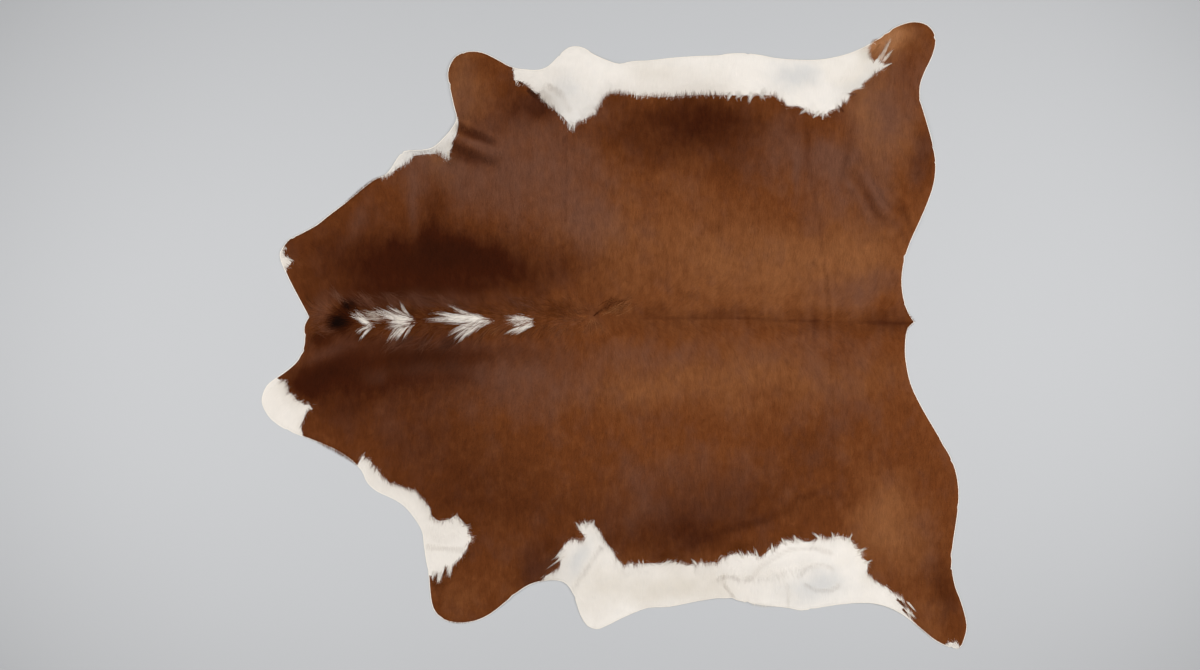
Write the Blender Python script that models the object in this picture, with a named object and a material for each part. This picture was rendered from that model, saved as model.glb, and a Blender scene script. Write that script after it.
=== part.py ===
"""Cowhide rug: one whole tanned hide with its hair on, laid flat with the hair side up.

Metres, +Z up. The neck points to -X, the tail to +X, and the animal's right side is +Y.
The underside lies on Z = 0, and the origin is under the middle of the hide's box.
The hide is one closed sheet: its skin and the laid hair on it are one solid, since the hair lies
close and can't be parted from the skin. Its few standing folds lift the sheet off the floor.
"""

from collections import namedtuple
from math import cos, pi

import bmesh
import bpy
from mathutils import Vector
from mathutils.geometry import interpolate_bezier

NAME = "cowhide_rug"

# Thickness of the sheet
SKIN = 0.0020
COAT = 0.0035
MANE_COAT = 0.0020
MANE_HALF_WIDTH = 0.12

# How finely the outline and the sheet are divided
STEPS_PER_SPAN = 3
GRID = 0.048
SHORTEST_EDGE = 0.004

HIDE_COLOUR = (0.115, 0.042, 0.018, 1.0)
HIDE_ROUGHNESS = 0.55

# The outline, clockwise seen from above, stretch by stretch from the notch in the neck.
# A corner is a sharp point; a run is a smooth line through its points.
Stretch = namedtuple("Stretch", "place form points")
OUTLINE = (
    Stretch("notch in the neck", "corner", ((-0.935, 0.055),)),
    Stretch("right cheek", "run", (
        (-0.970, 0.120), (-1.005, 0.190), (-1.023, 0.243), (-1.010, 0.272), (-0.990, 0.295),
        (-0.965, 0.306))),
    Stretch("right side of the neck", "run", (
        (-0.912, 0.335), (-0.870, 0.368), (-0.825, 0.402), (-0.780, 0.439), (-0.737, 0.473),
        (-0.695, 0.493), (-0.662, 0.542), (-0.642, 0.561), (-0.590, 0.565), (-0.555, 0.573),
        (-0.520, 0.604), (-0.495, 0.634), (-0.483, 0.661))),
    Stretch("right foreleg", "run", (
        (-0.491, 0.697), (-0.501, 0.743), (-0.510, 0.790), (-0.505, 0.820), (-0.484, 0.852),
        (-0.445, 0.866), (-0.403, 0.863), (-0.356, 0.841), (-0.313, 0.818), (-0.271, 0.811),
        (-0.231, 0.810), (-0.201, 0.822))),
    Stretch("right elbow", "run", (
        (-0.172, 0.851), (-0.145, 0.875), (-0.119, 0.882), (-0.090, 0.875), (-0.061, 0.856),
        (-0.020, 0.838), (0.015, 0.828))),
    Stretch("right belly edge", "run", (
        (0.055, 0.836), (0.110, 0.839), (0.170, 0.846), (0.255, 0.852), (0.320, 0.854),
        (0.347, 0.859), (0.400, 0.860), (0.445, 0.855), (0.490, 0.846), (0.545, 0.841),
        (0.610, 0.840), (0.662, 0.846), (0.720, 0.861))),
    Stretch("right hind leg", "run", (
        (0.766, 0.881), (0.802, 0.902), (0.836, 0.927), (0.873, 0.947), (0.916, 0.957),
        (0.957, 0.947), (0.980, 0.918), (0.983, 0.891), (0.971, 0.848), (0.948, 0.800),
        (0.935, 0.759), (0.937, 0.715))),
    Stretch("right buttock", "run", (
        (0.955, 0.650), (0.974, 0.581), (0.983, 0.520), (0.977, 0.460), (0.957, 0.400),
        (0.931, 0.341), (0.904, 0.281), (0.887, 0.228), (0.879, 0.168), (0.884, 0.115),
        (0.898, 0.070))),
    Stretch("root of the tail", "corner", ((0.917, 0.038),)),
    Stretch("left buttock", "run", (
        (0.897, 0.017), (0.890, -0.035), (0.892, -0.080), (0.907, -0.151), (0.940, -0.221),
        (0.980, -0.290), (1.019, -0.357), (1.043, -0.413), (1.053, -0.473), (1.051, -0.535),
        (1.042, -0.597), (1.034, -0.655))),
    Stretch("left hind leg", "run", (
        (1.033, -0.713), (1.042, -0.767), (1.062, -0.821), (1.078, -0.888), (1.070, -0.930),
        (1.055, -0.957), (1.025, -0.955), (0.985, -0.938), (0.948, -0.909), (0.909, -0.876),
        (0.868, -0.848), (0.825, -0.829), (0.775, -0.820))),
    Stretch("left belly edge", "run", (
        (0.705, -0.823), (0.635, -0.833), (0.572, -0.843), (0.534, -0.836), (0.457, -0.827),
        (0.400, -0.818), (0.357, -0.807), (0.311, -0.806), (0.237, -0.818), (0.168, -0.832),
        (0.104, -0.835))),
    Stretch("left elbow", "run", (
        (0.068, -0.847), (0.020, -0.868), (-0.026, -0.891), (-0.055, -0.900), (-0.084, -0.888),
        (-0.105, -0.853), (-0.119, -0.812), (-0.134, -0.777), (-0.154, -0.757), (-0.183, -0.750),
        (-0.224, -0.754))),
    Stretch("left foreleg", "run", (
        (-0.260, -0.765), (-0.296, -0.788), (-0.335, -0.820), (-0.377, -0.853), (-0.417, -0.873),
        (-0.457, -0.881), (-0.497, -0.879), (-0.531, -0.866), (-0.555, -0.835), (-0.564, -0.788),
        (-0.568, -0.735))),
    Stretch("left side of the neck", "run", (
        (-0.576, -0.688), (-0.583, -0.640), (-0.588, -0.602), (-0.608, -0.566), (-0.643, -0.524),
        (-0.679, -0.501), (-0.726, -0.479), (-0.756, -0.452), (-0.774, -0.414), (-0.815, -0.376),
        (-0.848, -0.355), (-0.891, -0.335))),
    Stretch("left cheek", "run", (
        (-0.950, -0.312), (-1.001, -0.292), (-1.048, -0.260), (-1.073, -0.223), (-1.078, -0.195),
        (-1.063, -0.157), (-1.035, -0.133), (-1.000, -0.108), (-0.967, -0.076), (-0.948, -0.027),
        (-0.949, 0.024))),
)

# The folds that stand off the floor. Each is a low round ridge along a line from start to end,
# which dies away over its half width to either side and over its last quarter at each end.
Fold = namedtuple("Fold", "place start end height half_width")
FOLDS = (
    Fold("right armpit, front", (-0.500, 0.640), (-0.330, 0.560), 0.008, 0.060),
    Fold("left armpit", (-0.570, -0.600), (-0.430, -0.520), 0.007, 0.060),
    Fold("right hip", (0.700, 0.520), (0.860, 0.290), 0.008, 0.070),
    Fold("right hip, rear", (0.840, 0.460), (0.910, 0.310), 0.006, 0.060),
    Fold("left belly, along the edge", (0.340, -0.715), (0.640, -0.655), 0.009, 0.060),
    Fold("left hip", (0.560, -0.490), (0.700, -0.420), 0.005, 0.060),
    Fold("old crease across the loin", (0.600, 0.600), (0.660, -0.250), 0.004, 0.060),
)


def outline_points():
    """Every point of the outline in order, as vectors, with which of them are corners."""
    points = [Vector(p).to_3d() for s in OUTLINE for p in s.points]
    corners = [s.form == "corner" for s in OUTLINE for _ in s.points]
    return points, corners


def smooth_outline(steps=STEPS_PER_SPAN):
    """A closed smooth line through the outline's points, straight into each corner."""
    points, corners = outline_points()
    count = len(points)
    line = []
    for i, here in enumerate(points):
        there = points[(i + 1) % count]
        reach = (there - here).length / 3.0
        leave = (there - points[i - 1]).normalized() * reach
        arrive = (points[(i + 2) % count] - here).normalized() * reach
        if corners[i]:
            leave = (there - here) / 3.0
        if corners[(i + 1) % count]:
            arrive = (there - here) / 3.0
        line += interpolate_bezier(here, here + leave, there - arrive, there, steps + 1)[:-1]
    return line


def centred(line):
    """The line moved so that the middle of its box is the origin."""
    lowest = Vector([min(p[i] for p in line) for i in range(3)])
    highest = Vector([max(p[i] for p in line) for i in range(3)])
    return [p - (lowest + highest) / 2.0 for p in line]


def round_bump(share):
    """1 at share 0, falling smoothly to 0 at share 1 and beyond."""
    return 0.5 + 0.5 * cos(pi * min(abs(share), 1.0))


def fold_lift(fold, place):
    """How far one fold lifts the sheet at a place."""
    start = Vector(fold.start).to_3d()
    along = Vector(fold.end).to_3d() - start
    share = (place - start).dot(along) / along.length_squared
    aside = (place - start - share * along).length / fold.half_width
    past_end = (abs(share - 0.5) - 0.25) / 0.25
    return fold.height * round_bump(aside) * round_bump(max(past_end, 0.0))


def lift(place):
    """The height of the underside off the floor at a place."""
    return max(fold_lift(fold, place) for fold in FOLDS)


def thickness(place):
    """Skin and laid hair together, deeper in the mane along the spine."""
    return SKIN + COAT + MANE_COAT * round_bump(place.y / MANE_HALF_WIDTH)


def cut_along(bm, axis, low, high):
    """Divide the flat sheet with a family of parallel lines, GRID apart."""
    cuts = int((high - low) / GRID)
    normal = [0.0, 0.0, 0.0]
    normal[axis] = 1.0
    for i in range(1, cuts + 1):
        at = [0.0, 0.0, 0.0]
        at[axis] = low + (high - low) * i / (cuts + 1)
        everything = bm.verts[:] + bm.edges[:] + bm.faces[:]
        bmesh.ops.bisect_plane(bm, geom=everything, dist=1e-6, plane_co=at, plane_no=normal)


def slants(edge):
    """Whether an edge runs across the grid instead of along one of its lines."""
    run = edge.verts[1].co - edge.verts[0].co
    return min(abs(run.x), abs(run.y)) > 1e-5


def flat_sheet(line):
    """A bmesh of the hide's flat outline, divided into a grid."""
    bm = bmesh.new()
    ring = [bm.verts.new(p) for p in line]
    for here, there in zip(ring, ring[1:] + ring[:1]):
        bm.edges.new((here, there))
    bmesh.ops.contextual_create(bm, geom=bm.edges[:])
    bmesh.ops.triangulate(bm, faces=bm.faces[:])
    for axis in (0, 1):
        cut_along(bm, axis, min(p[axis] for p in line), max(p[axis] for p in line))
    slanting = [e for e in bm.edges if not e.is_boundary and slants(e)]
    bmesh.ops.dissolve_edges(bm, edges=slanting, use_verts=False)
    bmesh.ops.remove_doubles(bm, verts=bm.verts[:], dist=SHORTEST_EDGE)
    bmesh.ops.triangulate(bm, faces=bm.faces[:])
    bmesh.ops.recalc_face_normals(bm, faces=bm.faces[:])
    if bm.faces[0].normal.z > 0.0:
        bmesh.ops.reverse_faces(bm, faces=bm.faces[:])
    return bm


def thicken(bm):
    """Lift the folds and raise the hair side, which closes the sheet into one solid."""
    under = bm.faces[:]
    raised = bmesh.ops.extrude_face_region(bm, geom=under, use_keep_orig=True)
    top = [v for v in raised["geom"] if isinstance(v, bmesh.types.BMVert)]
    for vert in bm.verts:
        vert.co.z = lift(Vector((vert.co.x, vert.co.y, 0.0)))
    for vert in top:
        vert.co.z += thickness(vert.co)
    bmesh.ops.recalc_face_normals(bm, faces=bm.faces[:])


def hide_material():
    """Brown hair with a low sheen."""
    material = bpy.data.materials.new("brown_hair")
    material.use_nodes = True
    shader = material.node_tree.nodes["Principled BSDF"]
    shader.inputs["Base Color"].default_value = HIDE_COLOUR
    shader.inputs["Roughness"].default_value = HIDE_ROUGHNESS
    shader.inputs["Metallic"].default_value = 0.0
    return material


def make_hide(collection):
    """The whole hide, as one solid."""
    bm = flat_sheet(centred(smooth_outline()))
    thicken(bm)
    mesh = bpy.data.meshes.new("hide")
    bm.to_mesh(mesh)
    bm.free()
    mesh.materials.append(hide_material())
    mesh.shade_smooth()
    hide = bpy.data.objects.new("hide", mesh)
    collection.objects.link(hide)
    return hide


def main():
    for old in list(bpy.data.objects):
        bpy.data.objects.remove(old)
    collection = bpy.data.collections.new(NAME)
    bpy.context.scene.collection.children.link(collection)
    make_hide(collection)


main()
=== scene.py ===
"""A whole cowhide laid flat, hair side up: skin, laid coat, mane, white tufts and edge hair.

Metres, +Z up, neck to -X and tail to +X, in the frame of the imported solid.
The skin is one closed sheet. The coat on it is real hair: tapered locks laid on the skin along
the lie of the hair, each coloured at its root, so that white and brown meet in ragged edges.
"""

from collections import namedtuple
from math import cos, pi, radians, sin

import bmesh
import bpy
import numpy as np
from bpy.props import FloatProperty, FloatVectorProperty, IntProperty, PointerProperty
from mathutils import Matrix, Vector


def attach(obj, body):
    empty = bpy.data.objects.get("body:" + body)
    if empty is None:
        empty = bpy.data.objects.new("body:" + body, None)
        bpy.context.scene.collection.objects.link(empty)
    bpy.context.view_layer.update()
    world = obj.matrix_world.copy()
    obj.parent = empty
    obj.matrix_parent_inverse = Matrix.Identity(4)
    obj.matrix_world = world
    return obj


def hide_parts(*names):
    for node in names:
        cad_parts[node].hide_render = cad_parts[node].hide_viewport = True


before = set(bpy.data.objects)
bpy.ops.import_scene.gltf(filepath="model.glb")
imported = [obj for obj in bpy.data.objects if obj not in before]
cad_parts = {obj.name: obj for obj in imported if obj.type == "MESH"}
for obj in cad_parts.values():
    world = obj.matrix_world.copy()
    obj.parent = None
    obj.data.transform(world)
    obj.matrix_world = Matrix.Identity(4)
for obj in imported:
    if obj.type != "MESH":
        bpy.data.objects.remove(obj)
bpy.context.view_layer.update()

bl_info = {
    "name": "Cowhide Rug",
    "version": (1, 0, 0),
    "blender": (4, 5, 0),
    "location": "View3D > Sidebar > Cowhide",
    "description": "Lays a whole cowhide with its hair on a pale floor",
    "category": "Add Mesh",
}

NODE = "hide"

# ---------------------------------------------------------------------------------------------
# The hide, as tables. Places are in metres from under the middle of the hide.

# The line of the backbone, from the notch in the neck to the root of the tail
SPINE_X = (-0.935, -0.827, -0.594, -0.234, -0.068, 0.078, 0.311, 0.451, 0.662, 0.916)
SPINE_Y = (0.055, 0.046, 0.046, 0.049, 0.055, 0.052, 0.054, 0.048, 0.040, 0.038)
WHORL = (-0.069, 0.055)

# Folds that stand off the floor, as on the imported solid
Fold = namedtuple("Fold", "place start end height half_width")
FOLDS = (
    Fold("right armpit, front", (-0.500, 0.640), (-0.330, 0.560), 0.008, 0.060),
    Fold("left armpit", (-0.570, -0.600), (-0.430, -0.520), 0.007, 0.060),
    Fold("right hip", (0.700, 0.520), (0.860, 0.290), 0.008, 0.070),
    Fold("right hip, rear", (0.840, 0.460), (0.910, 0.310), 0.006, 0.060),
    Fold("left belly, along the edge", (0.340, -0.715), (0.640, -0.655), 0.009, 0.060),
    Fold("left hip", (0.560, -0.490), (0.700, -0.420), 0.005, 0.060),
    Fold("old crease across the loin", (0.600, 0.600), (0.660, -0.250), 0.004, 0.060),
)

# Fine creases: how far each stands up (or sinks, below 0), and how much painted shade it lays on the
# coat along its line (below 0, a painted highlight)
Crease = namedtuple("Crease", "place line half_width height shade")
CREASES = (
    Crease("across the loin", (
        (0.592, 0.614), (0.604, 0.455), (0.623, 0.367), (0.641, 0.217), (0.656, 0.113),
        (0.656, -0.016), (0.668, -0.272), (0.668, -0.450)), 0.007, -0.0007, 0.15),
    Crease("beside it", (
        (0.606, 0.610), (0.618, 0.455), (0.637, 0.367), (0.655, 0.217), (0.670, 0.113),
        (0.670, -0.016), (0.682, -0.272)), 0.008, 0.0007, -0.10),
    Crease("down the right shoulder", ((-0.152, 0.602), (-0.150, 0.345)), 0.006, -0.0010, 0.22),
    Crease("armpit, front trough", ((-0.475, 0.638), (-0.415, 0.615), (-0.371, 0.592)),
           0.012, -0.0020, 0.15),
    Crease("armpit, ridge", ((-0.478, 0.606), (-0.420, 0.590), (-0.360, 0.566)),
           0.009, 0.0015, 0.00),
    Crease("armpit, rear trough", ((-0.490, 0.576), (-0.430, 0.556), (-0.371, 0.530)),
           0.013, -0.0020, 0.10),
    Crease("hip trough", ((0.739, 0.495), (0.765, 0.440), (0.791, 0.391), (0.846, 0.345)),
           0.016, -0.0014, 0.05),
    Crease("hip ridge, front", ((0.715, 0.500), (0.745, 0.430), (0.775, 0.372)),
           0.012, 0.0015, 0.00),
    Crease("hip ridge, rear", ((0.765, 0.500), (0.800, 0.420), (0.850, 0.372), (0.890, 0.330)),
           0.012, 0.0015, 0.00),
    Crease("hip, third fold", ((0.849, 0.455), (0.880, 0.385), (0.910, 0.321)),
           0.012, -0.0008, 0.03),
    Crease("left flank, low", ((0.329, -0.603), (0.420, -0.580), (0.500, -0.554)),
           0.012, -0.0006, 0.04),
    Crease("left flank, rear", ((0.565, -0.502), (0.641, -0.468)), 0.012, -0.0005, 0.03),
    Crease("curl in the white", (
        (0.335, -0.741), (0.335, -0.764), (0.357, -0.793), (0.369, -0.809)),
        0.005, -0.0014, 0.70),
    Crease("top of the curl", ((0.314, -0.750), (0.335, -0.738), (0.363, -0.741), (0.381, -0.749)),
           0.005, -0.0012, 0.50),
    Crease("fold in the white", (
        (0.401, -0.749), (0.424, -0.741), (0.446, -0.706), (0.498, -0.676), (0.535, -0.655),
        (0.610, -0.650), (0.662, -0.667)), 0.006, -0.0012, 0.28),
    Crease("down the white", ((0.528, -0.765), (0.532, -0.835)), 0.005, -0.0010, 0.30),
    Crease("old scar, below", (
        (0.584, -0.764), (0.617, -0.782), (0.662, -0.782), (0.688, -0.765)),
        0.005, -0.0010, 0.40),
    Crease("old scar, above", (
        (0.561, -0.741), (0.587, -0.712), (0.632, -0.700), (0.669, -0.715)),
        0.005, -0.0008, 0.25),
    Crease("across the white of the armpit", ((-0.573, -0.649), (-0.466, -0.657)),
           0.006, -0.0008, 0.30),
    Crease("seam of the loin", (
        (0.380, 0.051), (0.451, 0.048), (0.662, 0.040), (0.912, 0.037)),
        0.0050, -0.0004, 0.28),
    Crease("seam of the back", ((0.090, 0.052), (0.240, 0.053), (0.380, 0.051)),
           0.0060, -0.0002, 0.18),
    Crease("slit of the whorl", ((-0.069, 0.055), (-0.045, 0.073), (-0.023, 0.085)),
           0.0030, -0.0008, 0.25),
    Crease("left elbow fold", ((-0.044, -0.652), (-0.085, -0.715), (-0.130, -0.786)),
           0.009, -0.0020, 0.12),
    Crease("right elbow fold", ((-0.200, 0.760), (-0.160, 0.735), (-0.140, 0.690)),
           0.010, -0.0015, 0.25),
)

# White hair: the inner border of each patch, then points beyond the edge that close it
Patch = namedtuple("Patch", "place border beyond")
PATCHES = (
    Patch("right cheek", (
        (-1.010, 0.272), (-1.014, 0.255), (-1.006, 0.238), (-0.983, 0.226), (-1.001, 0.204),
        (-1.004, 0.190)), ((-1.060, 0.200), (-1.060, 0.290))),
    Patch("right side of the neck", (
        (-0.708, 0.482), (-0.692, 0.484), (-0.678, 0.498), (-0.650, 0.516), (-0.625, 0.527),
        (-0.614, 0.547), (-0.579, 0.553), (-0.544, 0.553), (-0.521, 0.538), (-0.506, 0.541),
        (-0.497, 0.585), (-0.485, 0.605), (-0.479, 0.620), (-0.476, 0.650), (-0.483, 0.664)),
        ((-0.560, 0.690), (-0.720, 0.600), (-0.740, 0.500))),
    Patch("right belly", (
        (-0.310, 0.817), (-0.307, 0.789), (-0.304, 0.773), (-0.277, 0.770), (-0.255, 0.752),
        (-0.231, 0.729), (-0.191, 0.694), (-0.154, 0.665), (-0.131, 0.634), (-0.096, 0.659),
        (-0.055, 0.676), (-0.044, 0.706), (-0.029, 0.729), (-0.013, 0.738), (0.051, 0.735),
        (0.109, 0.729), (0.139, 0.726), (0.198, 0.731), (0.256, 0.735), (0.332, 0.733),
        (0.400, 0.731), (0.481, 0.733), (0.516, 0.712), (0.533, 0.698), (0.568, 0.697),
        (0.592, 0.681), (0.635, 0.668), (0.662, 0.688), (0.690, 0.694), (0.716, 0.722),
        (0.722, 0.744), (0.756, 0.756), (0.779, 0.787), (0.836, 0.824), (0.812, 0.838),
        (0.826, 0.862), (0.845, 0.898), (0.826, 0.872), (0.806, 0.848), (0.797, 0.838),
        (0.786, 0.850), (0.777, 0.872), (0.796, 0.900)),
        ((0.700, 0.980), (-0.100, 0.980), (-0.300, 0.900))),
    Patch("left cheek", (
        (-1.036, -0.130), (-1.018, -0.139), (-1.000, -0.147), (-0.994, -0.174), (-0.971, -0.199),
        (-0.950, -0.213), (-0.922, -0.216), (-0.944, -0.244), (-0.957, -0.279), (-0.952, -0.312)),
        ((-0.990, -0.360), (-1.120, -0.300), (-1.120, -0.130))),
    Patch("left side of the neck", (
        (-0.768, -0.368), (-0.742, -0.389), (-0.720, -0.419), (-0.690, -0.449), (-0.650, -0.465),
        (-0.614, -0.471), (-0.591, -0.496), (-0.567, -0.524), (-0.561, -0.548), (-0.538, -0.568),
        (-0.503, -0.563), (-0.482, -0.548), (-0.462, -0.571), (-0.445, -0.595), (-0.437, -0.624),
        (-0.451, -0.653), (-0.468, -0.682), (-0.494, -0.707), (-0.503, -0.731), (-0.514, -0.706),
        (-0.532, -0.753), (-0.545, -0.738), (-0.572, -0.734)),
        ((-0.640, -0.700), (-0.640, -0.600), (-0.740, -0.540), (-0.800, -0.420))),
    Patch("left belly", (
        (-0.218, -0.754), (-0.212, -0.738), (-0.191, -0.725), (-0.168, -0.714), (-0.163, -0.695),
        (-0.182, -0.678), (-0.160, -0.655), (-0.143, -0.630), (-0.118, -0.625), (-0.092, -0.630),
        (-0.088, -0.622), (-0.113, -0.586), (-0.098, -0.574), (-0.067, -0.574), (-0.040, -0.610),
        (-0.010, -0.654), (0.024, -0.704), (0.057, -0.698), (0.139, -0.698), (0.191, -0.694),
        (0.219, -0.705), (0.256, -0.698), (0.317, -0.694), (0.332, -0.681), (0.375, -0.666),
        (0.421, -0.669),
        (0.445, -0.678), (0.481, -0.650), (0.522, -0.630), (0.561, -0.626), (0.598, -0.633),
        (0.627, -0.617), (0.668, -0.619), (0.697, -0.613), (0.720, -0.624), (0.750, -0.655),
        (0.756, -0.678), (0.776, -0.694), (0.772, -0.725), (0.803, -0.759), (0.833, -0.771),
        (0.855, -0.789), (0.874, -0.797), (0.889, -0.827), (0.912, -0.850), (0.904, -0.858),
        (0.914, -0.876), (0.938, -0.902)),
        ((0.860, -0.920), (0.400, -0.980), (-0.100, -0.980), (-0.300, -0.820))),
    Patch("left hind foot", (
        (1.012, -0.948), (1.026, -0.938), (1.034, -0.944), (1.040, -0.932), (1.052, -0.948)),
        ((1.070, -0.980), (1.000, -0.980))),
)

# Where the hair doesn't simply run from the backbone outwards: it is combed to a heading in
# degrees from +X, all the way at the place itself and less towards the reach.
Comb = namedtuple("Comb", "place x y reach heading")
COMBS = (
    Comb("right cheek", -0.950, 0.240, 0.120, 165.0),
    Comb("left cheek", -0.990, -0.200, 0.110, 200.0),
    Comb("left cheek tip", -0.930, -0.214, 0.035, 25.0),
    Comb("right side of the neck", -0.740, 0.400, 0.130, 135.0),
    Comb("left side of the neck", -0.760, -0.350, 0.130, -135.0),
    Comb("right neck strip", -0.560, 0.555, 0.060, 70.0),
    Comb("right armpit tip", -0.508, 0.545, 0.030, -80.0),
    Comb("right foreleg", -0.430, 0.760, 0.140, 105.0),
    Comb("right elbow, brown over white", -0.260, 0.750, 0.060, -35.0),
    Comb("right elbow point", -0.131, 0.655, 0.045, -75.0),
    Comb("right elbow, rear", -0.045, 0.700, 0.045, 125.0),
    Comb("right belly, middle", 0.130, 0.735, 0.110, 60.0),
    Comb("right belly, white over brown", 0.410, 0.735, 0.090, -140.0),
    Comb("right flank point, front", 0.560, 0.700, 0.060, -155.0),
    Comb("right flank point, rear", 0.640, 0.680, 0.050, -60.0),
    Comb("right stifle", 0.740, 0.755, 0.070, -12.0),
    Comb("right stifle tip", 0.815, 0.830, 0.040, 25.0),
    Comb("right hind foot", 0.900, 0.900, 0.100, 60.0),
    Comb("gold hair on the foot", 0.795, 0.870, 0.040, -115.0),
    Comb("left neck strip", -0.660, -0.470, 0.080, -60.0),
    Comb("left armpit, rear", -0.450, -0.590, 0.060, 35.0),
    Comb("left armpit, low", -0.520, -0.725, 0.060, -105.0),
    Comb("left foreleg", -0.470, -0.820, 0.100, -100.0),
    Comb("left elbow", -0.175, -0.670, 0.070, -145.0),
    Comb("left elbow finger", -0.085, -0.585, 0.045, 120.0),
    Comb("left elbow, rear", -0.005, -0.660, 0.045, -55.0),
    Comb("left belly, middle", 0.170, -0.700, 0.120, 65.0),
    Comb("left belly, white over brown", 0.400, -0.665, 0.080, 105.0),
    Comb("left belly, rear", 0.560, -0.625, 0.100, 120.0),
    Comb("left stifle", 0.740, -0.660, 0.080, 45.0),
    Comb("left stifle, low", 0.820, -0.770, 0.070, -40.0),
    Comb("left hind leg", 0.920, -0.850, 0.070, -52.0),
    Comb("left hind foot", 1.040, -0.900, 0.080, -70.0),
    Comb("white tip of the foot", 1.035, -0.945, 0.030, 100.0),
)
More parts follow.
